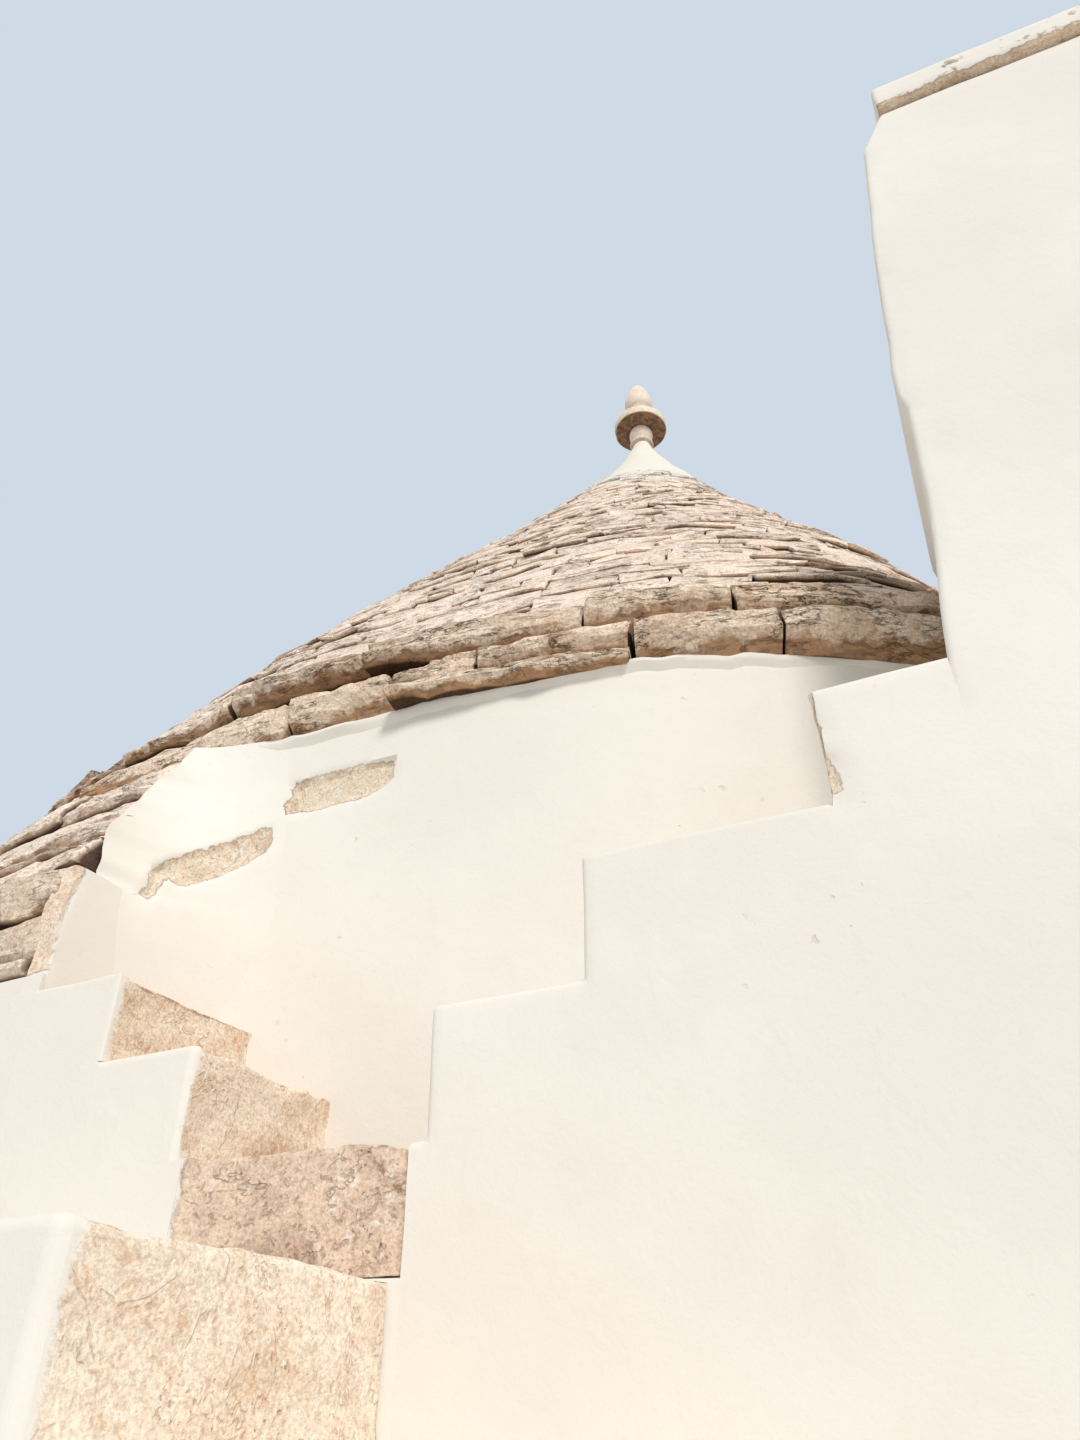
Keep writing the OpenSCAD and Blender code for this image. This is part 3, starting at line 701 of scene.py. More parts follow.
day_joint = smooth_step(tall_points[:, 2] - 0.12 * (tall_points[:, 0] - tall_left), 3.335, 3.35)
tall_points[:, 1] -= 0.006 * day_joint * edge_reach
tall_points[:, 0] -= 0.010 * day_joint * edge_reach
tall_mesh.vertices.foreach_set("co", tall_points.ravel())
finish_masonry("tall_wall", tall_mesh, ["annex_front_wall"], wall_material)

# Sweep of plaster at the right end of the roof skirt: it fills the corner between the
# skirt stones and the house front, and part of it has come off. It runs out down the
# corner between the buttress's end and the house front.
sweep_right = -0.02
sweep_left = -0.343
sweep_front = -3.382
sweep_drop = 0.62
sweep_foot = upper_level - sweep_drop
sweep_top = wall_h + 0.02
skirt_reach = 0.385
skirt_slope = 0.63


def sweep_line(level, steps=44):
    """Plan of the sweep's face at a level, from the skirt stones to the house front."""
    shown = max(level, upper_level + 0.001)
    face = -wall_y - skirt_reach + skirt_slope * (shown - upper_level)
    edge = layered_grain(np.array([[0.0, 0.0, shown]]), (1.0, 0.085, 63), (0.7, 0.034, 64))[0]
    start = (sweep_left - 0.08 * (shown - upper_level) + 0.014 * edge, max(face - 0.006, sweep_front))
    bend = (-0.300, -wall_y - 0.002)
    end = (sweep_right, -wall_y + 0.006)
    corner = (-0.300, -wall_y + 0.03)
    kept = float(smooth_step(level, sweep_foot, upper_level)) if level < upper_level else 1.0
    line = []
    for i in range(steps + 1):
        t = i / steps
        spot = [(1 - t) ** 2 * a + 2 * t * (1 - t) * b + t * t * c for a, b, c in zip(start, bend, end)]
        line.append(tuple(middle + (value - middle) * kept for value, middle in zip(spot, corner)))
    return line


sweep = bmesh.new()
sweep_rings = []
sweep_levels = np.concatenate([np.linspace(sweep_foot, upper_level - 0.01, 16),
                               np.linspace(upper_level + 0.001, sweep_top, 52)])
for level in sweep_levels:
    line = sweep_line(level)
    line = line + [(sweep_right, -wall_y + 0.1), (min(line[0][0], -0.30) - 0.004, -wall_y + 0.1)]
    sweep_rings.append([sweep.verts.new((x, y, level)) for x, y in line])
close_round(sweep, sweep_rings)
sweep.faces.new(sweep_rings[0][::-1])
sweep.faces.new(sweep_rings[-1])
bmesh.ops.recalc_face_normals(sweep, faces=sweep.faces)
sweep_mesh = solid_mesh("skirt_end_plaster", sweep)
finish_masonry("skirt_end_plaster", sweep_mesh, None, wall_material, front_bare,
               recess=0.012)

# Left flight: two raw stone steps on a limewashed base, cut a little out of square. The
# lime of the flank is drawn a finger's width round the corner of each raw riser.
flank_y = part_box("left_step_lower")[0].y
landing_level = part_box("landing_block")[1].z
left_near = 0.100
left_tread = 0.222
riser_skew = 0.086
turn_left = 0.130
turn_nose = 0.025
left_levels = (turn_level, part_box("left_step_lower")[1].z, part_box("left_step_upper")[1].z, upper_level)
into_wall = -wall_y + 0.25
stone_radius = 0.014
raw_cell = 0.022


def riser_line(step):
    """X of a left riser at the flank and at the house wall."""
    near = left_near - step * left_tread
    return near, near + riser_skew * (1 - 0.36 * step)


def fine_mesh(name, solid, cell, low, high):
    """Cuts a solid into cells between two corners and hands back its mesh."""
    slice_up(solid, *[np.arange(low[axis] + cell / 2, high[axis], cell) for axis in range(3)])
    return solid_mesh(name, solid)


end_near, end_far = riser_line(2)


def flight_outline(near, far):
    return [(end_near, flank_y), (near, flank_y), (far, into_wall), (end_far, into_wall)]


def flank_band(points, width):
    """Height above zero where the lime of the flank ends on a riser or tread."""
    inward = points[:, 1] - flank_y
    return limit_mark(inward - width - 0.010 * grain(points, 0.07, 53))


step_material = masonry_material("raw step stone", (0.93, 0.79, 0.64), (0.66, 0.42, 0.27),
                                 (0.30, 0.19, 0.13), 0.6, feather=0.007, edge_shade_share=0.05)
for step, name in enumerate(("left_step_lower", "left_step_upper")):
    near, far = riser_line(step)
    foot, head = left_levels[step], left_levels[step + 1]
    block = prism(flight_outline(near, far), foot, head)
    next_near = riser_line(step + 1)[0]
    slice_up(block, [next_near + 0.004], [], [])
    soften(block, stone_radius,
           lambda m: m.x > next_near + 0.006 and m.z > foot + near_face and m.y < -wall_y)
    block_mesh = fine_mesh(name, block, raw_cell, (end_near, flank_y, foot), (far, into_wall, head))
    finish_masonry(name, block_mesh, [name], step_material,
                   lambda p: flank_band(p, 0.015), recess=0.006)

base = prism(flight_outline(turn_left, turn_left), 0, turn_level)
base_mesh = fine_mesh("left_flight_base", base, 0.045, (end_near, flank_y, 1.0),
                      (turn_left, into_wall, turn_level))
finish_masonry("left_flight_base", base_mesh, None, wall_material)
turn_outline = [(turn_left, flank_y - turn_nose), (flight_left, face_y), (flight_left, into_wall),
                (turn_left, into_wall)]
turn_base = prism(turn_outline, 0, landing_level)
turn_base_mesh = fine_mesh("stair_base", turn_base, 0.06, (turn_left, flank_y, 1.0),
                           (flight_left, into_wall, landing_level))
finish_masonry("stair_base", turn_base_mesh, ["stair_base"], wall_material)

# Turning step: one long block of weathered limestone between the flights, with a worn
# nose. It is bedded in lime mortar on the base of the stair.
turn_material = masonry_material("weathered step stone", (0.80, 0.62, 0.48), (0.26, 0.15, 0.10),
                                 (0.09, 0.05, 0.035), 0.85, feather=0.006, edge_shade_share=0.1)
turn_block = prism(turn_outline, landing_level, turn_level)
soften(turn_block, stone_radius, lambda m: m.y < -wall_y and m.z > landing_level + near_face)
turn_mesh = fine_mesh("turning_step", turn_block, raw_cell,
                      (turn_left, flank_y - turn_nose, landing_level),
                      (flight_left, into_wall, turn_level))
finish_masonry("turning_step", turn_mesh, ["turning_step"], turn_material,
               lambda p: limit_mark(p[:, 0] - turn_left - 0.014 - 0.012 * grain(p, 0.06, 54)),
               recess=0.004)

# Lower landing: one big block of raw limestone at the head of the lower flight, with its
# face to the right. It stands on the ground by its own weight and is limed on the flank.
landing_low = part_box("landing_block")[0]
landing_near = 0.415
landing_far = 0.533
landing_front = landing_low.y
landing_material = masonry_material("landing stone", (0.97, 0.85, 0.71), (0.74, 0.52, 0.36),
                                    (0.36, 0.24, 0.17), 0.48, feather=0.009, edge_shade_share=0.04)
landing = prism([(landing_low.x, landing_front), (landing_near, landing_front), (landing_far, face_y),
                 (landing_low.x, face_y)], 0, landing_level)
soften(landing, 0.018, lambda m: m.z > 0.1
       and (m.y < face_y - near_face or m.z < landing_level - near_face))
landing_mesh = fine_mesh("landing_block", landing, 0.032, (landing_low.x, landing_front, 0.0),
                         (landing_far, face_y, landing_level))


def landing_bare(points):
    inward = points[:, 1] - landing_front - 0.034 - 0.014 * grain(points, 0.10, 55)
    right_side = points[:, 0] - (landing_near - 0.10)
    return limit_mark(np.minimum(inward, right_side + 0.06 * grain(points, 0.2, 56)))


finish_masonry("landing_block", landing_mesh, ["landing_block"], landing_material,
               landing_bare, recess=0.004)

# Lower flight: seven steps up from the ground along the stepped wall, limewashed, with the
# stone of each tread worn bare in the middle.
flight_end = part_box("lower_flight")[1]
lower_steps = 7
lower_tread = 0.280
lower_rise = flight_end.z / lower_steps
stairs = [(landing_far, 0), (flight_end.x, 0)]
for step in range(lower_steps):
    level = (step + 1) * lower_rise
    stairs.append((flight_end.x - step * lower_tread, level))
    stairs.append((flight_end.x - (step + 1) * lower_tread, level))
stairs[-1] = (landing_far, flight_end.z)
lower_flight = prism(stairs, landing_front, face_y, "Y")
for corner in lower_flight.verts:
    if corner.co.x < landing_far + 0.001 and corner.co.y < landing_front + 0.001:
        corner.co.x = landing_near
soften(lower_flight, 0.015, lambda m: m.z > 0.02 and m.y < face_y - near_face
       and m.x > landing_far + near_face)
lower_mesh = fine_mesh("lower_flight", lower_flight, 0.05, (landing_near, landing_front, 0.0),
                       (flight_end.x, face_y, flight_end.z))


def tread_bare(points):
    """Feet have worn the lime off the middle of the treads and their noses."""
    outside = np.abs(points[:, 1] - (landing_front + face_y) / 2)
    on_tread = np.abs(np.mod(points[:, 2] + 0.02, lower_rise) - 0.02)
    worn = 0.15 - outside + 0.05 * grain(points, 0.13, 57) - 2.5 * on_tread
    return limit_mark(worn)


finish_masonry("lower_flight", lower_mesh, ["lower_flight"], step_material, tread_bare,
               recess=0.004)

# Left buttress: thick limewashed foot that follows the round corner of the house and
# carries a raw course. Its end face closes the left flight as the last riser.
course_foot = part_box("buttress_course")[0].z
skirt_back = -0.6
end_width = 0.050
corner_grow = -flank_y - wall_y


def corner_curve(grow, right_x, steps=120):
    """Points of the house plan grown outward, from right_x round the front left corner."""
    curve = plan_curve(wall_x + grow, wall_y + grow, plan_power)[0]
    kept = curve[(curve[:, 0] < right_x) & (curve[:, 1] < skirt_back) & (curve[:, 0] < 0)]
    return kept[:: max(1, len(kept) // steps)][::-1]


def crescent(grow, right_x, low, high, steps=60):
    outer = corner_curve(grow, right_x, steps)
    inner = corner_curve(-0.12, right_x, steps)[::-1]
    outline = [tuple(point) for point in outer] + [tuple(point) for point in inner]
    return prism(outline, low, high)


foot = crescent(corner_grow, end_near, 0, course_foot, 90)
foot_mesh = fine_mesh("left_buttress", foot, 0.08, (-wall_x - corner_grow, flank_y, 0.0),
                      (end_near, skirt_back, course_foot))
finish_masonry("left_buttress", foot_mesh, ["left_buttress"], wall_material)
end_block = prism([(end_near - end_width, flank_y), (end_near, flank_y), (end_far, into_wall),
                   (end_far - end_width, into_wall)], left_levels[2] - 0.05, upper_level)
soften(end_block, 0.016, lambda m: m.y < flank_y + near_face and m.x > end_near - 0.03)
end_mesh = fine_mesh("buttress_end", end_block, raw_cell, (end_near - end_width, flank_y, course_foot),
                     (end_far, into_wall, upper_level))
end_points = coordinates(end_mesh)
end_points[(end_points[:, 2] < course_foot + 0.004) & (end_points[:, 1] < flank_y + 0.02), 1] += 0.02
end_mesh.vertices.foreach_set("co", end_points.ravel())


def end_bare(points):
    """Lime of the end face stops short of its left edge, which shows as a raw strip."""
    strip = 0.010 + 0.020 * smooth_step(points[:, 2], upper_level - 0.14, upper_level)
    strip += 0.006 * grain(points, 0.09, 58) + 0.003 * grain(points, 0.025, 59)
    back = np.maximum(flank_y + strip - points[:, 1], end_near - 0.02 - points[:, 0])
    return np.where((points[:, 1] < flank_y + 0.06) & (points[:, 2] > course_foot + 0.01),
                    limit_mark(back), covered)


finish_masonry("buttress_end", end_mesh, None, step_material, end_bare,
               recess=0.004)

# Cone roof: dry laid courses of flat limestone slabs that step in from a rounded
# rectangle at the eave to a circle under the cap. The two lowest courses and the one on
# them are thick blocks. Inside, the same courses corbel in to a dome.
eave_over = 0.07
cone_rise = 4.60
cone_bulge = 0.02
round_power = 2.45
course_count = 26
closing_course = 19
dome_hole = 0.270
cap_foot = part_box("cone_cap")[0].z
cone_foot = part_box("cone_lower")[0].z
eave_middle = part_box("eave_course_upper")[0].z
closing_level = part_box("closing_slab")[0].z
eave_x = wall_x + eave_over
eave_y = wall_y + eave_over
round_radius = 0.99 * eave_x
curve_steps = 720


def cone_form(level, out=0.0):
    """Half width, half depth and squareness of the cone at a level."""
    rise_share = (level - wall_h) / cone_rise
    scale = (1 - rise_share) + 4 * cone_bulge * rise_share * (1 - rise_share)
    turned = min(1, max(0, (level - wall_h) / (cap_foot - wall_h))) ** round_power
    half_x = scale * (eave_x + (round_radius - eave_x) * turned) + out
    half_y = scale * (eave_y + (round_radius - eave_y) * turned) + out
    return half_x, half_y, plan_power + (2 - plan_power) * turned


def dome_form(level):
    """Half width, half depth and squareness of the inner dome at a level."""
    climbed = min(1, max(0, (level - wall_h) / (closing_level - wall_h)))
    share = 1 - climbed ** 1.7
    return (dome_hole + (room_x - dome_hole) * share, dome_hole + (room_y - dome_hole) * share,
            2 + (plan_power - 2) * share)


def course_level(index):
    return cone_foot + (cap_foot - cone_foot) * index / course_count


class StoneHeap:
    """Points, faces and marks of many stones that become one mesh."""

    def __init__(self):
        self.points = []
        self.faces = []
        self.marks = {"tone": [], "behind": [], "under": []}
        self.total = 0

    def add(self, points, faces, **marks):
        self.points.append(points)
        self.faces.append(faces + self.total)
        for label, values in marks.items():
            self.marks[label].append(values)
        self.total += len(points)

    def mesh(self, name):
        mesh = bpy.data.meshes.new(name)
        faces = np.concatenate(self.faces)
        mesh.from_pydata(np.concatenate(self.points).tolist(), [], faces.tolist())
        for label, values in self.marks.items():
            mark(mesh, label, np.concatenate(values))
        shade(mesh, 24)
        return mesh


def edge_lines(count, rim):
    """Lines across a face, given as a fixed part and a share of its width, close together at
    both rims."""
    inner = np.linspace(0, 1, count)
    fixed = np.concatenate([[0], rim - 2 * rim * inner, [0]])
    share = np.concatenate([[0], inner, [1]])
    return fixed, share


def face_grid(across, up, rings):
    """Faces of a stone: a front grid and rings that run back from its rim, without a back."""
    def number(i, j):
        return j * across + i
    faces = []
    for j in range(up - 1):
        for i in range(across - 1):
            faces.append((number(i, j), number(i + 1, j), number(i + 1, j + 1), number(i, j + 1)))
    rim = [(i, 0) for i in range(across)] + [(across - 1, j) for j in range(1, up)]
    rim += [(i, up - 1) for i in range(across - 2, -1, -1)] + [(0, j) for j in range(up - 2, 0, -1)]
    numbers = [number(i, j) for i, j in rim]
    start = across * up
    count = len(rim)
    for ring in range(rings):
        after = [start + ring * count + k for k in range(count)]
        for k in range(count):
            m = (k + 1) % count
            faces.append((numbers[k], after[k], after[m], numbers[m]))
        numbers = after
    return np.array(faces), rim


def split_course(rng, start, end, mean, shortest=0.45):
    """Ends of the stones along a course."""
    longest = 1.65
    cuts = [start]
    while cuts[-1] < end - mean * shortest:
        cuts.append(cuts[-1] + mean * rng.uniform(shortest, longest))
    cuts[-1] = end
    return list(zip(cuts[:-1], cuts[1:]))


def lay_course(heap, rng, low, high, z0, z1, mean, across, rings, proud, rim, gap, layers, undercut,
               rough, begin=0.0, finish=1.0, up=3, depth=0.13, wave=0.014, open_joint=0.0,
               lean=(0.0, 0.0), ledge=0.0):
    """Lays one course of slabs between two levels, along the outlines low and high. Over the
    front left corner the stones stand back by lean at their foot and head. The depth mark for
    painted joint shade spares the top of each stone as far back as ledge, where the course above leaves it
    open."""
    low_curve, low_out, run = plan_curve(*low, curve_steps)
    high_curve, high_out = plan_curve(*high, curve_steps)[:2]
    height = z1 - z0
    shortest_layered = 0.15
    split_heights = (0.30, 0.68)
    split_places = (0.25, 0.75)
    stones = []
    for left, right in split_course(rng, begin * run, finish * run, mean):
        if rng.random() < layers and right - left > shortest_layered:
            middle = rng.uniform(*split_heights)
            joint = left + (right - left) * rng.uniform(*split_places)
            stones.append((left, right, 0.0, middle))
            stones.append((left, joint, middle, 1.0))
            stones.append((joint, right, middle, 1.0))
        else:
            stones.append((left, right, 0.0, 1.0))
    stones = np.array(stones)
    count = len(stones)
    left, right, foot_share, head_share = [stones[:, k][:, None] for k in range(4)]

    def each(least, most):
        """One random number for each stone."""
        return rng.uniform(least, most, (count, 1))

    def stray(size):
        return rng.normal(0, size, (count, 1))

    def swells(places, size, seed):
        return grain(places, size, seed).reshape(count, -1)

    # Points of one stone: a grid over its face, then rings that run back from the rim
    flat_rim = 0.8 * rim
    ring_crowding = 1.4
    stray_along = 0.3
    stray_up = 0.25
    u_fixed, u_share = edge_lines(across, rim)
    t_fixed, t_share = edge_lines(up, flat_rim)
    faces, rim_cells = face_grid(len(u_fixed), len(t_fixed), rings)
    grid_i, grid_j = np.meshgrid(np.arange(len(u_fixed)), np.arange(len(t_fixed)))
    pick_i = np.concatenate([grid_i.ravel(), np.tile([cell[0] for cell in rim_cells], rings)])
    pick_j = np.concatenate([grid_j.ravel(), np.tile([cell[1] for cell in rim_cells], rings)])
    ring_depth = depth * (np.arange(1, rings + 1) / rings) ** ring_crowding
    back = np.concatenate([np.zeros(grid_i.size), np.repeat(ring_depth, len(rim_cells))])[None, :]
    long = right - left
    tall = height * (head_share - foot_share)
    along = u_fixed[pick_i][None, :] + u_share[pick_i][None, :] * long
    upward = t_fixed[pick_j][None, :] + t_share[pick_j][None, :] * tall
    inner_i = (pick_i > 1) & (pick_i < len(u_fixed) - 2)
    inner_j = (pick_j > 1) & (pick_j < len(t_fixed) - 2)
    along = along + inner_i * rng.uniform(-stray_along, stray_along, along.shape) * long / across
    upward = upward + inner_j * rng.uniform(-stray_up, stray_up, upward.shape) * tall / up
    at_rim = (pick_i == 0) | (pick_i == len(u_fixed) - 1) | (pick_j == 0) | (pick_j == len(t_fixed) - 1)

    # Places of all stones along the course
    joint_slant = 0.012
    gap_shares = (0.3, 3.0)
    corner_right = -0.25
    corner_width = 0.33
    slant = rng.normal(0, joint_slant, (count, 2))
    up_share = upward / tall
    left_gap = gap * each(*gap_shares) + slant[:, :1] * (up_share - 0.5)
    right_gap = gap * each(*gap_shares) + slant[:, 1:] * (up_share - 0.5)
    place = left + left_gap + (long - left_gap - right_gap) * along / long
    share = np.mod(place / run, 1.0)
    even = np.linspace(0, 1, len(low_curve))
    level_share = foot_share + (head_share - foot_share) * up_share
    spot = np.zeros((count, len(pick_i), 3))
    outward = np.zeros((count, len(pick_i), 2))
    for axis in range(2):
        below = np.interp(share, even, low_curve[:, axis])
        above = np.interp(share, even, high_curve[:, axis])
        spot[..., axis] = below + (above - below) * level_share
        outward[..., axis] = (np.interp(share, even, low_out[:, axis]) * (1 - level_share)
                              + np.interp(share, even, high_out[:, axis]) * level_share)
    leaning = smooth_step(corner_right - spot[..., 0], 0.0, corner_width)
    leaning = leaning * (1 - smooth_step(spot[..., 1], skirt_back - 0.10, skirt_back + 0.05))
    step_back = leaning * (lean[0] + (lean[1] - lean[0]) * level_share)

    # Levels: beds wave along the course, and joints yawn where the course below has sunk
    wave_length = 0.50
    nick_from = 0.30
    nick_depth = 0.030
    apart = 50
    flat = spot.reshape(-1, 3).copy()
    flat[:, 2] = z0
    wave_low = wave * swells(flat, wave_length, 71)
    flat[:, 2] = z1
    wave_high = wave * swells(flat, wave_length, 71)
    own_place = flat + apart * np.repeat(stones[:, 0], len(pick_i))[:, None]
    nick = np.clip(swells(own_place, 0.11, 72) - nick_from, 0, 1) * nick_depth
    yawn = open_joint * np.clip(1.6 * swells(flat, 0.42, 77) + 0.25, 0, 1)
    bed_gap = gap * 0.4
    low_gap = (gap * each(0.2, 2.0) + yawn) * (foot_share == 0) + bed_gap
    foot_level = z0 + wave_low + foot_share * (height + wave_high - wave_low) + low_gap
    head_level = z0 + wave_low + head_share * (height + wave_high - wave_low) - bed_gap
    off_middle = along / long - 0.5
    sway = stray(0.005) * off_middle
    spot[..., 2] = foot_level + sway + (head_level - foot_level) * up_share
    edge_share = 0.35
    full_nick_height = 0.09
    near_foot = np.clip(1 - upward / (edge_share * tall), 0, 1)
    near_head = np.clip(1 - (tall - upward) / (edge_share * tall), 0, 1)
    spot[..., 2] += nick * (near_foot - 0.5 * near_head) * np.minimum(1, tall / full_nick_height)

    # Faces: each stone stands its own way, is split rough and is undercut at its foot
    stand = stray(proud) + stray(proud * 0.7) * off_middle * 2
    stand = stand + stray(0.006) * (up_share - 0.5)
    cut_break = each(0.38, 0.62) + 0.12 * swells(own_place, 0.13, 78)
    under = 1 - smooth_step(up_share, 0.0, np.maximum(cut_break, 0.2))
    cut = undercut * each(0.55, 1.25) * under
    flat = spot.reshape(-1, 3)
    bed = layered_grain(flat, (0.0050, (0.24, 0.24, 0.020), 73), (0.0060, (0.075, 0.075, 0.045), 74))
    bed += 0.0040 * np.abs(grain(flat, 0.032, 75))
    bed = rough * bed.reshape(count, -1) + rough * rng.normal(0, 0.0016, up_share.shape)
    rim_drop = at_rim[None, :] * rim * each(0.4, 1.4)
    front = stand + bed - rim_drop - cut - nick * 0.4 * (near_foot + near_head)
    reach = front - back - step_back
    spot[..., 0] += outward[..., 0] * reach
    spot[..., 1] += outward[..., 1] * reach
    under_side = rough * 0.006 * swells(spot.reshape(-1, 3), (0.09, 0.09, 0.3), 76)
    spot[..., 2] += (back > 0) * under_side
    foot_part = 0.3
    head_part = 0.7
    full_undercut = 0.03
    below_rim = (back > 0) * (up_share < foot_part)
    # Share of each point on the undercut foot and the underside, which the material browns, partly as
    # weathering and partly as painted shade
    underside_shade_share = np.clip(np.maximum(under * min(1, undercut / full_undercut), below_rim), 0, 1)
    # Depth back from the face, which the material turns into painted shade in the joints; nicks and the
    # dropped rim count deeper
    behind = np.where(up_share > head_part, np.maximum(back - ledge, 0), back)
    number = np.arange(count)[:, None, None] * len(pick_i)
    heap.add(spot.reshape(-1, 3), (faces[None] + number).reshape(-1, 4),
             tone=np.repeat(rng.random(count), len(pick_i)),
             behind=(behind + rim_drop + 0.5 * nick).ravel(), under=underside_shade_share.ravel())


def lay_core(heap, outer, inner, z0, z1):
    """Rubble core of one course: a plain ring whose inner face is part of the dome. Its faces carry
    depth marks for painted shade: deep on the outer face, seen through the joints, and shallow on the inner
    face, over the dome.
    """
    count = 72
    outer_curve = plan_curve(*outer, count)[0][:-1]
    inner_curve = plan_curve(*inner, count)[0][:-1] if inner else outer_curve * 0.001
    rings = ((outer_curve, z0), (outer_curve, z1), (inner_curve, z0), (inner_curve, z1))
    points = np.concatenate([np.column_stack([curve, np.full(count, level)]) for curve, level in rings])
    faces = round_faces([(0, 1), (1, 3), (3, 2), (2, 0)], count)
    # Deep mark on the outer face for painted shade seen in the joints, a shallow one inside for painted
    # shade over the dome
    behind = np.repeat([0.15, 0.02], 2 * count)
    heap.add(points, np.array(faces), tone=np.full(4 * count, 0.5), behind=behind, under=np.zeros(4 * count))


def stretched(tree, place, scale):
    """A place scaled on each axis."""
    stretch = tree.nodes.new("ShaderNodeMapping")
    stretch.inputs["Scale"].default_value = scale
    tree.links.new(place, stretch.inputs["Vector"])
    return stretch.outputs["Vector"]


def part_of(tree, vector, node_type, part):
    """One part of a colour or a vector."""
    split = tree.nodes.new(node_type)
    tree.links.new(vector, split.inputs[0])
    return split.outputs[part]


def flake_pattern(tree, place, wide, high):
    """Random height and nearness of an edge, for flakes that lie flat in the bed of the stone."""
    bend = tree.nodes.new("ShaderNodeTexNoise")
    bend.inputs["Scale"].default_value = 6.0
    tree.links.new(place, bend.inputs["Vector"])
    bent = tree.nodes.new("ShaderNodeVectorMath")
    bent.operation = "MULTIPLY_ADD"
    bent.inputs[1].default_value = (0.16, 0.16, 0.012)
    tree.links.new(bend.outputs["Color"], bent.inputs[0])
    tree.links.new(place, bent.inputs[2])
    flat_place = stretched(tree, bent.outputs[0], (1 / wide, 1 / wide, 1 / high))
    flakes = []
    for feature in ("F1", "DISTANCE_TO_EDGE"):
        cells = tree.nodes.new("ShaderNodeTexVoronoi")
        cells.feature = feature
        cells.inputs["Scale"].default_value = 1.0
        tree.links.new(flat_place, cells.inputs["Vector"])
        flakes.append(cells.outputs)
    return part_of(tree, flakes[0]["Color"], "ShaderNodeSeparateColor", 0), flakes[1]["Distance"]


# Level for stones that no lime has run down
above_all = 100.0


def roof_material(name, pale, warm, dark, warmth, underside, limed_level=above_all,
                  flake=(0.20, 0.020), flaking=1.0, joint_shade_depth=0.034):
    """Weathered slab limestone that splits in flat flakes: each stone has its own tone, its
    underside is browner, partly weathering and partly painted shade, painted shade darkens it into the
    joints by the depth mark, and lime has run down from a level."""
    material, tree, shader, place = start_material(name)
    stone = place_group(tree, stone_group, Position=place, Pale=pale, Warm=warm,
                        Dark=(0.30, 0.21, 0.15), Lichen=(0.95, 0.89, 0.80), Warmth=warmth, Pitting=0.8)
    tone = shade_by(tree, stone["Color"], spread(tree, read_mark(tree, "tone"), 0.0, 1.0, 0.92, 1.06))
    drift = noise_texture(tree, place, 0.9, 3.0, 0.6)
    tone = blend_colour(tree, spread(tree, drift, 0.5, 0.8, 0.0, 0.25), tone, warm)
    bed = noise_texture(tree, stretched(tree, place, (8.0, 8.0, 46.0)), 1.0, 6.0, 0.66, 0.35)
    split_line = spread(tree, away_from(tree, bed, 0.48), 0.004, 0.022, 0.85 * flaking, 0.0)
    split_gate = spread(tree, noise_texture(tree, place, 5.5, 4.0, 0.65), 0.44, 0.56)
    split_line = times(tree, split_line, split_gate)
    pock = spread(tree, noise_texture(tree, place, 44.0, 4.0, 0.66, 0.6), 0.33, 0.41, 0.6, 0.0)
    wide_flake, wide_edge = flake_pattern(tree, place, *flake)
    small_flake, small_edge = flake_pattern(tree, place, 0.045, 0.009)
    tone = shade_by(tree, tone, spread(tree, wide_flake, 0.0, 1.0, 0.94, 1.04))
    gate = spread(tree, noise_texture(tree, place, 8.0, 3.0, 0.6), 0.54, 0.64)
    crack = times(tree, spread(tree, wide_edge, 0.02, 0.10, 0.6 * flaking, 0.0), gate)
    fine_crack = spread(tree, small_edge, 0.03, 0.13, 0.22 * flaking, 0.0)
    for share in (crack, fine_crack, pock):
        tone = blend_colour(tree, share, tone, underside)
    tone = blend_colour(tree, split_line, tone, dark)
    # Undercut feet and undersides go dark brown: partly weathering, partly painted shade
    low_edge = spread(tree, noise_texture(tree, place, 11.0, 5.0, 0.6), 0.3, 0.7, -0.5, 0.35)
    underside_shade = arithmetic(tree, "ADD", read_mark(tree, "under"), low_edge)
    underside_shade_tone = blend_colour(tree, spread(tree, small_flake, 0.15, 0.7), dark, underside)
    underside_shade_tone = blend_colour(tree, 0.5, underside_shade_tone, underside)
    tone = blend_colour(tree, spread(tree, underside_shade, 0.22, 0.60, 0.0, 0.85), tone, underside_shade_tone)
    # Painted shade: browner, then near black, the deeper a point lies back from the face
    behind = read_mark(tree, "behind")
    tone = blend_colour(tree, spread(tree, behind, 0.004, 0.014, 0.0, 0.6), tone, underside)
    joint_shade = spread(tree, behind, 0.3 * joint_shade_depth, joint_shade_depth, 0.0, 0.93)
    tone = blend_colour(tree, joint_shade, tone, dark)
    height_above = part_of(tree, place, "ShaderNodeSeparateXYZ", "Z")
    level = add_relief(tree, height_above, (noise_texture(tree, place, 7.0, 5.0, 0.65), 0.7))
    limed = spread(tree, level, limed_level, limed_level + 0.35, 0.0, 0.8)
    tone = blend_colour(tree, limed, tone, (0.88, 0.845, 0.78))
    tree.links.new(tone, shader.inputs["Base Color"])
    tree.links.new(stone["Roughness"], shader.inputs["Roughness"])
    height = add_relief(tree, stone["Height"], (wide_flake, 0.0035 * flaking),
                        (small_flake, 0.0015 * flaking), (crack, -0.003), (bed, 0.006 * flaking),
                        (split_line, -0.005), (pock, -0.002))
    raise_relief(tree, shader, height, 0.8)
    return material


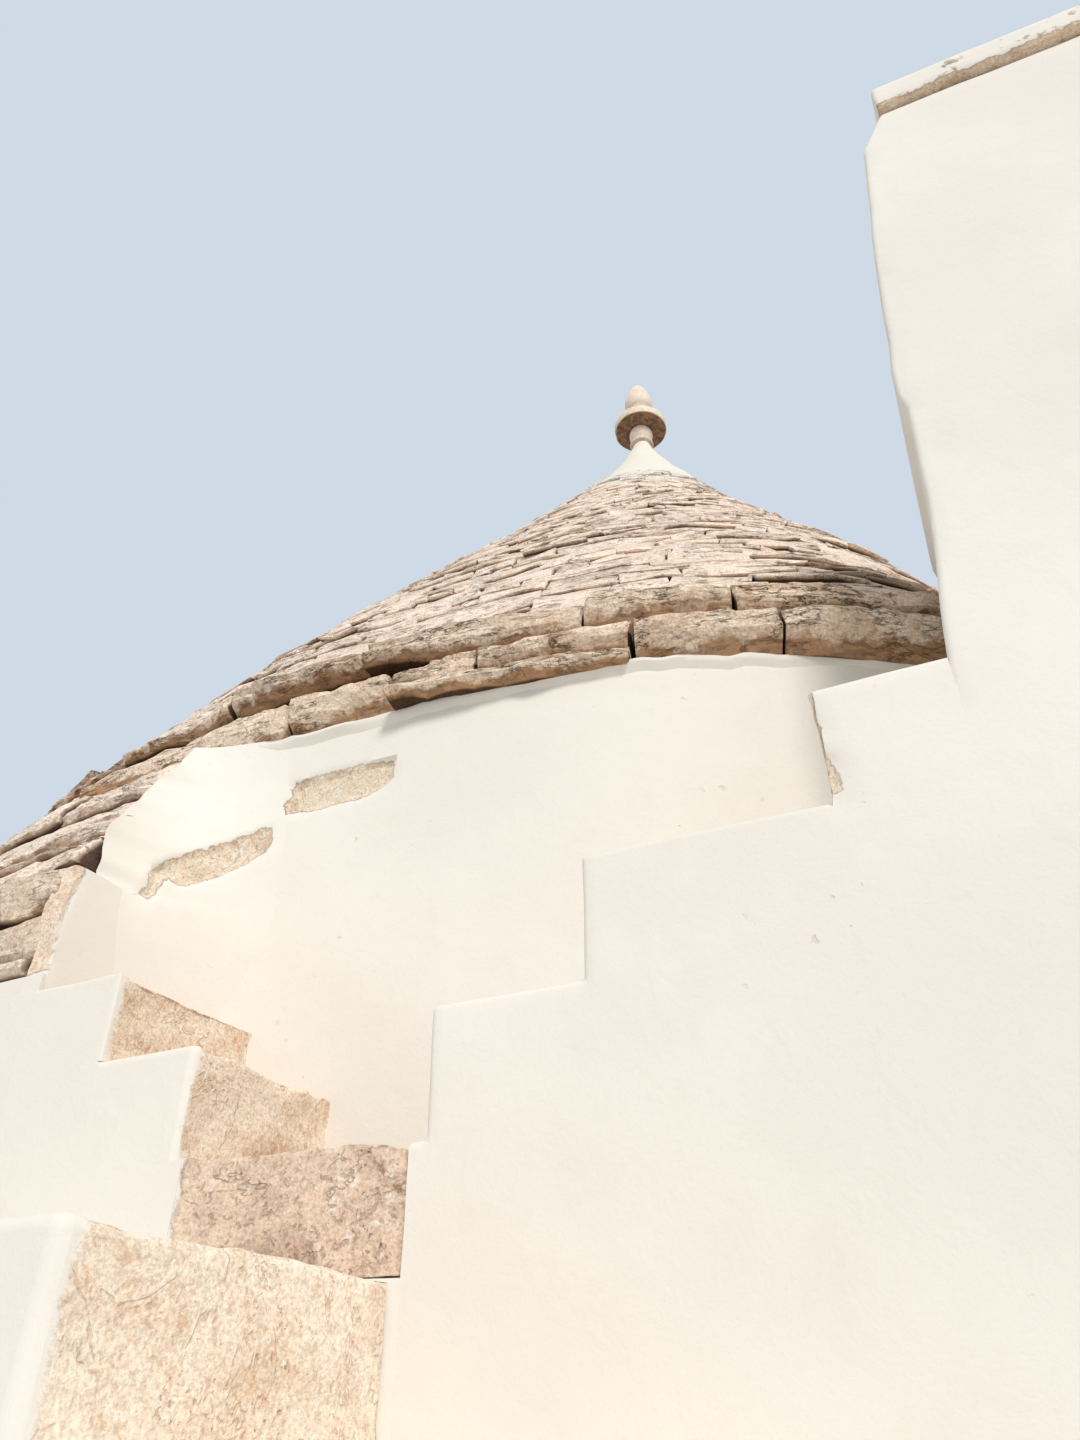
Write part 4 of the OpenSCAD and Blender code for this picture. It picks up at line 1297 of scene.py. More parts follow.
slab_material = roof_material("roof limestone", (1.0, 0.86, 0.74), (0.78, 0.60, 0.47),
                              (0.075, 0.042, 0.028), 0.38, (0.58, 0.41, 0.29), cap_foot - 0.20,
                              flaking=0.8, joint_shade_depth=0.024)
eave_material = roof_material("eave limestone", (0.96, 0.81, 0.66), (0.62, 0.42, 0.28),
                              (0.060, 0.032, 0.018), 0.5, (0.46, 0.25, 0.12), flake=(0.28, 0.026),
                              joint_shade_depth=0.018)

rng = np.random.default_rng(26)
second_foot = eave_middle + 0.005
third_foot = cone_foot - 0.015
third_head = third_foot + 0.075
eave_rows = (("eave_course_lower", wall_h, second_foot, 0.000, 0.054, 0.0, 0.50),
             ("eave_course_upper", second_foot, third_foot, 0.004, 0.044, 0.036, 0.50))
eave_form = cone_form(wall_h + 0.3 * (eave_middle - wall_h))
for name, foot_z, head_z, out, undercut, open_joint, mean in eave_rows:
    heap = StoneHeap()
    form = (eave_form[0] + out, eave_form[1] + out, eave_form[2])
    leans = []
    for level in (foot_z, head_z):
        slope_x, slope_y, power = cone_form(level)
        leans.append((form[0] - slope_x + form[1] - slope_y) / 2)
    lay_course(heap, rng, form, form, foot_z, head_z, mean, across=20, up=7, rings=4, depth=0.30,
               proud=0.012, rim=0.007, wave=0.017, gap=0.003, layers=0.25, undercut=undercut,
               rough=1.7, open_joint=open_joint, lean=leans, ledge=0.30)
    core = (form[0] - 0.16, form[1] - 0.16, form[2])
    lay_core(heap, core, dome_form(head_z), foot_z, head_z)
    mesh_piece(name, heap.mesh(name), [name], eave_material)

tiers = (("cone_lower", 0, round(closing_course / 3)),
         ("cone_middle", round(closing_course / 3), round(closing_course * 2 / 3)),
         ("cone_upper", round(closing_course * 2 / 3), closing_course),
         ("cone_top", closing_course, course_count))
for name, first, last in tiers:
    heap = StoneHeap()
    for index in range(first, last):
        z0 = course_level(index)
        z1 = course_level(index + 1)
        rows = 2 if index < 8 else 3
        levels = z0 + (z1 - z0) * np.linspace(0, 1, rows + 1)
        levels[1:-1] += rng.uniform(-0.006, 0.006, rows - 1)
        if index == 0:
            form = cone_form(z0, 0.045)
            lay_course(heap, rng, form, cone_form(third_head, 0.035), third_foot, third_head, 0.42,
                       across=14, up=5, rings=3, depth=0.26, proud=0.012, rim=0.007, wave=0.012,
                       gap=0.003, layers=0.25, undercut=0.036, rough=1.6, open_joint=0.032,
                       lean=(0.045, 0.035), ledge=0.26)
            levels = np.array([third_head, z1])
        mean = 0.13 + 0.10 * (1 - index / course_count)
        fine = index > 1
        for foot, head in zip(levels[:-1], levels[1:]):
            lay_course(heap, rng, cone_form(foot), cone_form(head), foot, head, mean,
                       across=4 if fine else 6, rings=1 if fine else 2, proud=0.006, rim=0.0035,
                       layers=0.2, undercut=0.006, gap=0.001, rough=1.5, open_joint=0.014)
        low_x, low_y, low_n = cone_form(z1)
        inner = dome_form(z1) if index < closing_course else None
        foot = z0 + 0.03 if index == closing_course else z0
        lay_core(heap, (low_x - 0.07, low_y - 0.07, low_n), inner, foot, z1)
    mesh_piece(name, heap.mesh(name), [name], slab_material)

# Roof skirt: courses that carry the slope of the cone on down over the thick front left
# corner. They end to the right in a sweep of limed plaster against the house front.
skirt_steps = 5


def grown_plan(grow):
    return wall_x + grow, wall_y + grow, plan_power


def plan_share(form, x, y):
    """Share of the run round an outline at which it passes nearest to a place."""
    curve = plan_curve(*form, curve_steps)[0]
    return np.argmin(np.hypot(curve[:, 0] - x, curve[:, 1] - y)) / curve_steps


heap = StoneHeap()
skirt_end_x = end_near - 0.018
for step in range(skirt_steps):
    z0 = upper_level + (wall_h - upper_level) * step / skirt_steps
    z1 = upper_level + (wall_h - upper_level) * (step + 1) / skirt_steps
    low_grow = eave_over + (corner_grow - eave_over) * (1 - step / skirt_steps) - 0.01
    high_grow = eave_over + (corner_grow - eave_over) * (1 - (step + 1) / skirt_steps) - 0.01
    form = grown_plan(low_grow)
    begin = plan_share(form, -wall_x - low_grow, skirt_back)
    finish = plan_share(form, skirt_end_x - 0.008 * step + rng.uniform(-0.006, 0.006), -wall_y - low_grow)
    lay_course(heap, rng, form, grown_plan(high_grow), z0, z1, 0.44, begin=begin, finish=finish,
               across=16, up=5, rings=3, depth=0.30, proud=0.010, rim=0.007, wave=0.012, gap=0.002,
               layers=0.3, undercut=0.022, rough=1.5, open_joint=0.014)
mesh_piece("roof_skirt", heap.mesh("roof_skirt"), ["roof_skirt"], slab_material)

heap = StoneHeap()
form = grown_plan(corner_grow)
begin = plan_share(form, -wall_x - corner_grow, skirt_back)
finish = plan_share(form, end_near - end_width + 0.015, flank_y)
ledge_top = course_foot + 0.042
course_middle = course_foot + 0.58 * (upper_level - course_foot)
ledge_form = grown_plan(corner_grow + 0.016)
ledge_finish = plan_share(ledge_form, end_near - 0.075, flank_y)
lay_course(heap, rng, ledge_form, ledge_form, course_foot, ledge_top, 0.95, begin=begin,
           finish=ledge_finish, across=24, up=4, rings=3, depth=0.2, proud=0.003, rim=0.007,
           wave=0.003, gap=0.002, layers=0.0, undercut=0.010, rough=0.9)
flank_stone = dict(begin=begin, finish=finish, up=8, rings=2, proud=0.005, rim=0.006, wave=0.008,
                   gap=0.002, layers=0.0)
lay_course(heap, rng, form, form, ledge_top, course_middle, 0.62, across=22, depth=0.2,
           undercut=0.006, rough=1.2, **flank_stone)
lay_course(heap, rng, form, form, course_middle, upper_level, 0.75, across=24, depth=0.35,
           undercut=0.012, rough=1.0, open_joint=0.012, **flank_stone)
flank_stone_material = roof_material("flank limestone", (0.92, 0.78, 0.64), (0.60, 0.42, 0.30),
                                     (0.08, 0.045, 0.03), 0.6, (0.42, 0.27, 0.17), flaking=0.5)
mesh_piece("buttress_course", heap.mesh("buttress_course"), ["buttress_course"],
           flank_stone_material)

# Lip of lime mortar that seals the head of the house wall against the foot of the eave
# stones, drawn on by hand, so that its edge waves.
lip_curve, lip_out = plan_curve(wall_x, wall_y, plan_power, 1100)[:2]
lip_section = ((-0.020, -0.036), (-0.002, -0.030), (0.002, -0.022), (0.008, -0.012),
               (0.012, -0.003), (0.011, 0.006), (0.003, 0.012), (-0.040, 0.014))
lip_rings = []
for out, rise in lip_section:
    ring = np.column_stack([lip_curve[:-1], np.full(len(lip_curve) - 1, wall_h)])
    wave = layered_grain(ring, (0.008, 0.30, 85), (0.010, 0.11, 86), (0.005, 0.04, 88))
    swell = out * (1 + 0.5 * grain(ring, 0.21, 87)) if out > 0.004 else out
    ring[:, :2] += lip_out[:-1] * np.broadcast_to(swell, len(ring))[:, None]
    ring[:, 2] += rise + wave * (rise > -0.035)
    lip_rings.append(ring)
lip_pairs = [(ring, (ring + 1) % len(lip_section)) for ring in range(len(lip_section))]
lip_faces = round_faces(lip_pairs, len(lip_curve) - 1)
lip_mesh = bpy.data.meshes.new("eave_lip")
lip_mesh.from_pydata(np.concatenate(lip_rings).tolist(), [], lip_faces)
finish_masonry("eave_lip", lip_mesh, None, wall_material)

# Cap: plaster over the last courses, drawn up by hand to a narrow neck and limewashed. It
# sheds the rain from the head of the cone and holds the foot of the finial.
cap_low, cap_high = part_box("cone_cap")
cap_centre = (cap_low + cap_high) / 2
cap_radius = (cap_high.x - cap_low.x) / 2
neck_level = cap_high.z
neck_radius = 0.060
cap_flare = 1.2


def turned_piece(name, profile, replaced, material, centre, wobble=0.002, around=96, chips=0.0,
                 foot_wave=0.0):
    """Round piece about an upright axis, with small swells, chips and a wavy foot."""
    angle = np.arange(around) / around * 2 * math.pi
    rings = []
    for radius, level in profile:
        rings.append(np.column_stack([radius * np.cos(angle), radius * np.sin(angle),
                                      np.full(around, level)]))
    points = np.concatenate(rings)
    points[:, :2] += np.array(centre[:2])
    away = points[:, :2] - np.array(centre[:2])
    reach = np.maximum(np.hypot(away[:, 0], away[:, 1]), 1e-6)
    swell = wobble * grain(points, 0.16, 81) + 0.5 * wobble * grain(points, 0.05, 82)
    if chips:
        swell -= chips * np.clip(grain(points, 0.03, 83) - 0.25, 0, 1)
    points[:, :2] += away * (np.minimum(swell, reach) / reach)[:, None]
    if foot_wave:
        low = profile[0][1]
        close = np.clip(1 - (points[:, 2] - low) / 0.12, 0, 1)
        points[:, 2] += close * foot_wave * grain(points, 0.14, 84)
    faces = round_faces([(ring, ring + 1) for ring in range(len(profile) - 1)], around)
    faces.append(tuple(range(around))[::-1])
    faces.append(tuple((len(profile) - 1) * around + i for i in range(around)))
    mesh = bpy.data.meshes.new(name)
    mesh.from_pydata(points.tolist(), [], faces)
    mark(mesh, "bare", np.full(len(points), covered))
    shade(mesh, 50)
    return mesh_piece(name, mesh, replaced, material)


cap_steps = 30
cap_hem = 0.03
cap_profile = [(cap_radius - 0.06, cap_foot - cap_hem), (cap_radius + 0.004, cap_foot - 0.012)]
for i in range(cap_steps + 1):
    share = i / cap_steps
    radius = neck_radius + (cap_radius - neck_radius) * (1 - share) ** cap_flare
    cap_profile.append((radius, cap_foot + cap_hem + (neck_level - cap_foot - cap_hem) * share))
cap_material = masonry_material("limed cap plaster", (0.72, 0.60, 0.45), (0.60, 0.45, 0.30),
                                (0.3, 0.2, 0.14), 0.4, (0.86, 0.815, 0.73))
turned_piece("cone_cap", cap_profile, ["cone_cap"], cap_material, cap_centre,
             wobble=0.006, foot_wave=0.022)

# Finial: stem with a ring and a bulb, a thick disc and an egg, cut from soft limestone
# and set on each other in mortar. Weather has pitted the disc. Faces that look down are browned by
# painted shade mottled with growth, darkest under the disc.
stem_low, stem_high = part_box("finial_stem")
disc_low, disc_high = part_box("finial_disc")
egg_low, egg_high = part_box("finial_egg")
stem_out = 0.023
disc_radius = (disc_high.x - disc_low.x) / 2
egg_radius = (egg_high.x - egg_low.x) / 2


def carved_material(name, pale, warm, dark, below):
    """Carved limestone with painted shade where it faces down: darker and browner there, mottled with
    growth.
    """
    material, tree, shader, place = start_material(name)
    stone = place_group(tree, stone_group, Position=place, Pale=pale, Warm=warm, Dark=dark,
                        Lichen=(0.90, 0.84, 0.72), Warmth=0.4, Pitting=0.45)
    facing = tree.nodes.new("ShaderNodeNewGeometry").outputs["Normal"]
    # Painted shade: faces that look down turn toward the below colour, mottled by growth toward the dark one
    down = part_of(tree, facing, "ShaderNodeSeparateXYZ", "Z")
    down = spread(tree, down, -0.92, -0.45, 0.95, 0.0)
    growth = noise_texture(tree, place, 26.0, 5.0, 0.7, 0.8)
    down_shade_tone = blend_colour(tree, spread(tree, growth, 0.40, 0.60), below, dark)
    tone = blend_colour(tree, down, stone["Color"], down_shade_tone)
    tree.links.new(tone, shader.inputs["Base Color"])
    tree.links.new(stone["Roughness"], shader.inputs["Roughness"])
    raise_relief(tree, shader, stone["Height"], 0.7)
    return material


disc_material = carved_material("lichened limestone", (0.90, 0.79, 0.66), (0.72, 0.54, 0.39),
                                (0.10, 0.055, 0.03), (0.30, 0.15, 0.065))
finial_material = carved_material("carved limestone", (0.93, 0.81, 0.70), (0.76, 0.57, 0.43),
                                  (0.36, 0.26, 0.19), (0.66, 0.50, 0.37))
stem_h = stem_high.z - stem_low.z
ring_share = 0.26
bulb_foot = 0.32
stem_profile = []
for i in range(13):
    stem_profile.append((neck_radius + stem_out * math.sin(math.pi * i / 12),
                         stem_low.z + ring_share * stem_h * i / 12))
for i in range(19):
    share = i / 18
    stem_profile.append((neck_radius + stem_out * math.sin(math.radians(160 * share)),
                         stem_low.z + stem_h * (bulb_foot + (1 - bulb_foot) * share)))
turned_piece("finial_stem", stem_profile, ["finial_stem"], finial_material, cap_centre,
             wobble=0.0015, around=72)
disc_t = disc_high.z - disc_low.z
disc_edge = 0.22 * disc_t
disc_profile = [(0.02, disc_low.z), (0.09, disc_low.z), (0.13, disc_low.z + 0.001),
                (disc_radius - disc_edge - 0.012, disc_low.z + 0.002)]
for i in range(17):
    turn = math.radians(-90 + 180 * i / 16)
    middle = disc_low.z + (disc_edge if i < 8 else disc_t - disc_edge)
    disc_profile.append((disc_radius - disc_edge + disc_edge * math.cos(turn),
                         middle + disc_edge * math.sin(turn)))
disc_profile += [(0.14, disc_high.z - 0.004), (0.12, disc_high.z - 0.002), (0.02, disc_high.z)]
turned_piece("finial_disc", disc_profile, ["finial_disc"], disc_material, cap_centre,
             wobble=0.002, around=120, chips=0.010)
egg_h = egg_high.z - egg_low.z
egg_foot = 0.34 * egg_h
egg_profile = [(0.86 * egg_radius, egg_low.z), (0.86 * egg_radius, egg_low.z + 0.06 * egg_h),
               (0.76 * egg_radius, egg_low.z + 0.10 * egg_h), (0.70 * egg_radius, egg_low.z + 0.16 * egg_h),
               (0.68 * egg_radius, egg_low.z + 0.24 * egg_h), (0.66 * egg_radius, egg_low.z + 0.30 * egg_h)]
egg_shares = (0.00, 0.06, 0.14, 0.24, 0.36, 0.50, 0.64, 0.76, 0.86, 0.94, 1.00)
egg_widths = (0.76, 0.90, 0.985, 1.00, 0.965, 0.865, 0.71, 0.54, 0.37, 0.20, 0.02)
for share in np.linspace(0, 1, 29):
    radius = egg_radius * float(np.interp(share, egg_shares, egg_widths))
    egg_profile.append((radius, egg_low.z + egg_foot + (egg_h - egg_foot) * share))
turned_piece("finial_egg", egg_profile, ["finial_egg"], finial_material, cap_centre,
             wobble=0.0015, around=72, chips=0.004)

# Closing slab: one round limestone flag that shuts the inner dome at its top. It lies dry
# on the last ring of the dome, held down by the courses over it.
slab_low, slab_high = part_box("closing_slab")
slab_radius = (slab_high.x - slab_low.x) / 2
slab_centre = (slab_low + slab_high) / 2
slab_edge = 0.012
slab_profile = [(0.01, slab_low.z), (slab_radius * 0.6, slab_low.z), (slab_radius - slab_edge, slab_low.z),
                (slab_radius, slab_low.z + slab_edge), (slab_radius, slab_high.z - slab_edge),
                (slab_radius - slab_edge, slab_high.z), (0.01, slab_high.z)]
turned_piece("closing_slab", slab_profile, ["closing_slab"], finial_material, slab_centre,
             wobble=0.004, around=72, chips=0.008)

# Fill between the house and the annex: rubble masonry up to the eave, built in lime mortar
# against both walls and limewashed behind.
fill_low, fill_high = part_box("corner_fill")
inside_house = plan_curve(wall_x - 0.15, wall_y - 0.15, plan_power, 180)[0][:-1]
fill_cut = prism([tuple(point) for point in inside_house], -0.5, wall_h + 0.5)
fill_body = box_solid(fill_low.x, fill_high.x + 0.05, fill_low.y, fill_high.y, 0, wall_h)
slice_up(fill_body, [], np.arange(fill_low.y + 0.15, fill_high.y, 0.15), np.arange(0.15, wall_h, 0.15))
for vert in fill_body.verts:
    if vert.co.x < fill_low.x + 0.01:
        vert.co.x += 0.02 + max(0, vert.co.z - upper_level) * 0.15
fill_mesh = boolean_mesh("corner_fill", fill_body, [fill_cut])
finish_masonry("corner_fill", fill_mesh, ["corner_fill"], wall_material)

# Annex behind the tall wall: thick rubble walls round one room, a doorway at the back
# and a flat roof of limed mortar.
side_low, side_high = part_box("annex_left_wall")
far_low, far_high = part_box("annex_right_wall")
rear_low, rear_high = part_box("annex_rear_wall")
head_low, head_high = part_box("annex_door_head")
shell = box_solid(side_low.x, far_high.x, side_low.y, side_high.y, 0, side_high.z)
shell_cell = 0.16
slice_up(shell, np.arange(side_low.x + shell_cell, far_high.x, shell_cell),
         np.arange(side_low.y + shell_cell, side_high.y, shell_cell),
         np.arange(shell_cell, side_high.z, shell_cell))
soften(shell, 0.02, lambda m: m.y > side_high.y - near_face
       and (m.x > far_high.x - near_face or m.x < side_low.x + near_face))
room_cut = box_solid(side_high.x, far_low.x, side_low.y - 0.1, rear_low.y, -0.1, side_high.z + 0.1)
annex_door_cut = box_solid(head_low.x, head_high.x, rear_low.y - 0.1, rear_high.y + 0.1, -0.2, head_low.z)
shell_mesh = boolean_mesh("annex_walls", shell, [room_cut, annex_door_cut])
finish_masonry("annex_walls", shell_mesh,
               ["annex_left_wall", "annex_right_wall", "annex_rear_wall", "annex_door_head"], wall_material)
roof_low, roof_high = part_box("annex_roof")
roof_slab = box_solid(roof_low.x, roof_high.x, roof_low.y, roof_high.y, roof_low.z, roof_high.z)
roof_mesh = fine_mesh("annex_roof", roof_slab, 0.12, roof_low, roof_high)
finish_masonry("annex_roof", roof_mesh, ["annex_roof"], wall_material)

# Coping: rough slabs of soft limestone bedded round the flat roof, with lime brushed over
# their faces and worn off again.
coping_low, coping_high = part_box("annex_coping")
coping_width = 0.42
side_coping_x = side_low.x - (coping_high.x - far_high.x)


def join_solids(name, solids):
    whole = bmesh.new()
    for solid in solids:
        part = solid_mesh("part", solid)
        whole.from_mesh(part)
        bpy.data.meshes.remove(part)
    return solid_mesh(name, whole)


def slab_row(rng, start, end, mean, along_x, side0, side1, z0, z1, cell=0.035):
    """Rough slabs end to end, with slightly uneven heights and fronts."""
    across_cell = 2 * cell
    solids = []
    for low, high in split_course(rng, start, end, mean, 0.6):
        joint = rng.uniform(0.002, 0.006)
        rise = rng.uniform(-0.008, 0.004)
        shift = rng.uniform(-0.006, 0.006)
        if along_x:
            slab = box_solid(low + joint, high - joint, side0 + shift, side1, z0, z1 + rise)
            places = (np.arange(low, high, cell), np.arange(side0, side1, across_cell),
                      np.arange(z0, z1, cell))
        else:
            slab = box_solid(side0 + shift, side1, low + joint, high - joint, z0, z1 + rise)
            places = (np.arange(side0, side1, across_cell), np.arange(low, high, cell),
                      np.arange(z0, z1, cell))
        soften(slab, 0.010)
        slice_up(slab, *[place[1:] for place in places])
        solids.append(slab)
    return solids


rng = np.random.default_rng(9)
coping_depth = 0.30
front_slabs = slab_row(rng, coping_low.x, coping_high.x, 0.75, True, coping_low.y, face_y + coping_width,
                       coping_low.z, coping_high.z, raw_cell)
side_slabs = slab_row(rng, face_y + coping_width, coping_high.y, 0.8, False, side_coping_x,
                      side_low.x + coping_depth, coping_low.z, coping_high.z)
side_slabs += slab_row(rng, face_y + coping_width, coping_high.y, 0.8, False, far_high.x - coping_depth,
                       coping_high.x, coping_low.z, coping_high.z)
side_slabs += slab_row(rng, side_low.x + coping_depth, far_high.x - coping_depth, 0.7, True,
                       side_high.y - coping_depth, coping_high.y, coping_low.z, coping_high.z)
coping_mesh = join_solids("annex_coping", front_slabs + side_slabs)
coping_material = masonry_material("limed coping stone", (0.78, 0.62, 0.46), (0.58, 0.38, 0.25),
                                   (0.22, 0.13, 0.09), 0.5, (0.90, 0.86, 0.79))


def coping_bare(points):
    """The underside and the foot of the face are bare, and the limed face is pitted."""
    above = points[:, 2] - coping_low.z - 0.016 - 0.008 * grain(points, 0.05, 91)
    pitted = -0.0052 + 0.0022 * grain(points, 0.11, 92)
    worn = 0.03 * (grain(points, 0.16, 93) - 0.62)
    return limit_mark(np.maximum(np.maximum(-above, pitted), worn))


finish_masonry("annex_coping", coping_mesh, ["annex_coping"], coping_material,
               coping_bare, recess=0.004)

# Floors: rows of limestone flags on a bed of lime mortar that fills their joints, worn
# smooth by feet and slightly uneven.
flag_gap = 0.009
flag_edge = 0.006
bed_share = 0.985
bed_clear = 0.002
joint_drop = 0.012
flag_depths = (0.8, 1.25)
flag_lengths = (0.34, 0.72)
flag_lean = 0.012
least_edge = 0.004
least_area = 0.002


def clip_outline(outline, border):
    """The part of a polygon inside a convex border, both anticlockwise."""
    for (x0, y0), (x1, y1) in zip(border, border[1:] + border[:1]):
        kept = []
        for (ax, ay), (bx, by) in zip(outline, outline[1:] + outline[:1]):
            side_a = (x1 - x0) * (ay - y0) - (y1 - y0) * (ax - x0)
            side_b = (x1 - x0) * (by - y0) - (y1 - y0) * (bx - x0)
            if side_a >= 0:
                kept.append((ax, ay))
            if (side_a >= 0) != (side_b >= 0):
                share = side_a / (side_a - side_b)
                kept.append((ax + share * (bx - ax), ay + share * (by - ay)))
        outline = kept
        if len(outline) < 3:
            return []
    return outline


def outline_area(outline):
    return sum(x0 * y1 - x1 * y0 for (x0, y0), (x1, y1) in zip(outline, outline[1:] + outline[:1])) / 2


def flag_floor(rng, border, low, high, depth=0.35):
    """Rows of flags inside a convex border, over a bed that fills their joints."""
    xs = [x for x, y in border]
    ys = [y for x, y in border]
    middle = (sum(xs) / len(xs), sum(ys) / len(ys))
    bed = [(middle[0] + bed_share * (x - middle[0]), middle[1] + bed_share * (y - middle[1]))
           for x, y in border]
    solids = [prism(bed, low + bed_clear, high - joint_drop)]
    y = min(ys)
    while y < max(ys):
        row = depth * rng.uniform(*flag_depths)
        x = min(xs) - rng.uniform(0, 0.4)
        while x < max(xs):
            long = rng.uniform(*flag_lengths)
            lean = rng.uniform(-flag_lean, flag_lean)
            flag = [(x + flag_gap / 2, y + flag_gap / 2), (x + long - flag_gap / 2, y + flag_gap / 2),
                    (x + long - flag_gap / 2 + lean, y + row - flag_gap / 2),
                    (x + flag_gap / 2 + lean, y + row - flag_gap / 2)]
            flag = clip_outline(flag, border)
            tidy = []
            for spot in flag:
                if not tidy or math.dist(spot, tidy[-1]) > least_edge:
                    tidy.append(spot)
            if len(tidy) > 2 and math.dist(tidy[0], tidy[-1]) < least_edge:
                tidy.pop()
            if len(tidy) > 2 and outline_area(tidy) > least_area:
                solid = prism(tidy, low, high - rng.uniform(0, 0.003))
                soften(solid, flag_edge, lambda m: m.z > high - near_face)
                solids.append(solid)
            x += long
        y += row
    return solids


rng = np.random.default_rng(14)
paving_material = roof_material("worn paving", (0.60, 0.53, 0.43), (0.48, 0.38, 0.28), (0.20, 0.15, 0.11),
                                0.45, (0.40, 0.33, 0.25))
room_border = [tuple(point) for point in plan_curve(room_x - 0.004, room_y - 0.004, plan_power, 90)[0][:-1]]
sill_border = rectangle(-door_half + 0.004, door_half - 0.004, room_y - 0.03, wall_y - 0.02)
floor_piece_mesh = join_solids("floor_paving", flag_floor(rng, room_border, 0, floor_t)
                               + flag_floor(rng, sill_border, 0, floor_t))
annex_floor_low, annex_floor_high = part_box("annex_floor")
annex_border = rectangle(annex_floor_low.x + 0.003, annex_floor_high.x - 0.003, annex_floor_low.y,
                         rear_low.y - 0.002)
annex_sill = rectangle(head_low.x + 0.003, head_high.x - 0.003, rear_low.y - 0.002, rear_high.y - 0.01)
annex_floor_mesh = join_solids("annex_floor", flag_floor(rng, annex_border, 0, annex_floor_high.z)
                               + flag_floor(rng, annex_sill, 0, annex_floor_high.z))
for name, mesh, sill_face in (("floor_paving", floor_piece_mesh, wall_y - 0.05),
                              ("annex_floor", annex_floor_mesh, rear_high.y - 0.04)):
    places = coordinates(mesh)
    # How deep the joints lie, which the paving material paints as shade
    joint_shade_depth = np.clip((floor_t - 0.009 - places[:, 2]) * 8, 0, 0.03)
    joint_shade_depth[places[:, 1] > sill_face] = 0
    mark(mesh, "tone", 0.5 + 0.5 * grain(places, (0.5, 0.36, 1), 95))
    mark(mesh, "behind", joint_shade_depth)
    mark(mesh, "under", np.zeros(len(places)))
    mesh_piece(name, mesh, [name], paving_material)

# Door leaves: upright chestnut planks nailed to battens behind, folded back flat on the
# sides of their doorways. Iron nails and a ring pull show on the face.
plank_share = 0.64
plank_width = 0.12
plank_gap = 0.001
batten_shares = (0.12, 0.5, 0.88)
batten_inset = 0.02
half_batten = 0.05
nail_radius = 0.007
plate_radius = 0.028
pull_inset = 0.07
pull_height = 0.95
ring_radius = 0.034
wire_radius = 0.0045
ring_out = 0.010
ring_drop = 0.030
ring_steps = 28
wire_steps = 8


def wood_material(name, pale, dark):
    """Oiled wood with grain that runs up the planks and dulls to grey."""
    material, tree, shader, place = start_material(name)
    streak = noise_texture(tree, stretched(tree, place, (22.0, 22.0, 1.1)), 2.2, 6.0, 0.6, 0.5)
    tone = blend_colour(tree, spread(tree, streak, 0.32, 0.68), dark, pale)
    weather = noise_texture(tree, place, 2.4, 4.0, 0.6)
    tone = blend_colour(tree, spread(tree, weather, 0.45, 0.75, 0.0, 0.4), tone, (0.30, 0.27, 0.23))
    tone = shade_by(tree, tone, spread(tree, read_mark(tree, "tone"), 0.0, 1.0, 0.78, 1.12))
    tree.links.new(tone, shader.inputs["Base Color"])
    tree.links.new(spread(tree, streak, 0.3, 0.7, 0.72, 0.52), shader.inputs["Roughness"])
    raise_relief(tree, shader, times(tree, streak, 0.0012))
    return material


def iron_material(name):
    """Forged iron, dark and brown with rust in patches."""
    material, tree, shader, place = start_material(name)
    patch = noise_texture(tree, place, 60.0, 5.0, 0.65)
    tone = blend_colour(tree, spread(tree, patch, 0.45, 0.62), (0.045, 0.040, 0.038), (0.17, 0.075, 0.035))
    tree.links.new(tone, shader.inputs["Base Color"])
    tree.links.new(spread(tree, patch, 0.4, 0.65, 0.45, 0.9), shader.inputs["Roughness"])
    tree.links.new(spread(tree, patch, 0.42, 0.60, 0.9, 0.1), shader.inputs["Metallic"])
    raise_relief(tree, shader, times(tree, patch, 0.001))
    return material


door_material = wood_material("oiled door planks", (0.33, 0.21, 0.12), (0.14, 0.085, 0.05))
iron = iron_material("forged iron")


def board(x0, x1, y0, y1, z0, z1, edge=0.003):
    solid = box_solid(x0, x1, y0, y1, z0, z1)
    soften(solid, edge)
    return solid


def own_tones(rng, solids):
    """One random tone for each board, for all of its points."""
    tones = []
    for solid in solids:
        tones += [rng.random()] * len(solid.verts)
    return tones


def stud(solid, radius, around, upright, flat, centre):
    """Flattened iron head that stands out along X."""
    made = bmesh.ops.create_uvsphere(solid, u_segments=around, v_segments=upright, radius=radius)
    bmesh.ops.scale(solid, vec=(flat, 1, 1), verts=made["verts"])
    bmesh.ops.translate(solid, vec=centre, verts=made["verts"])


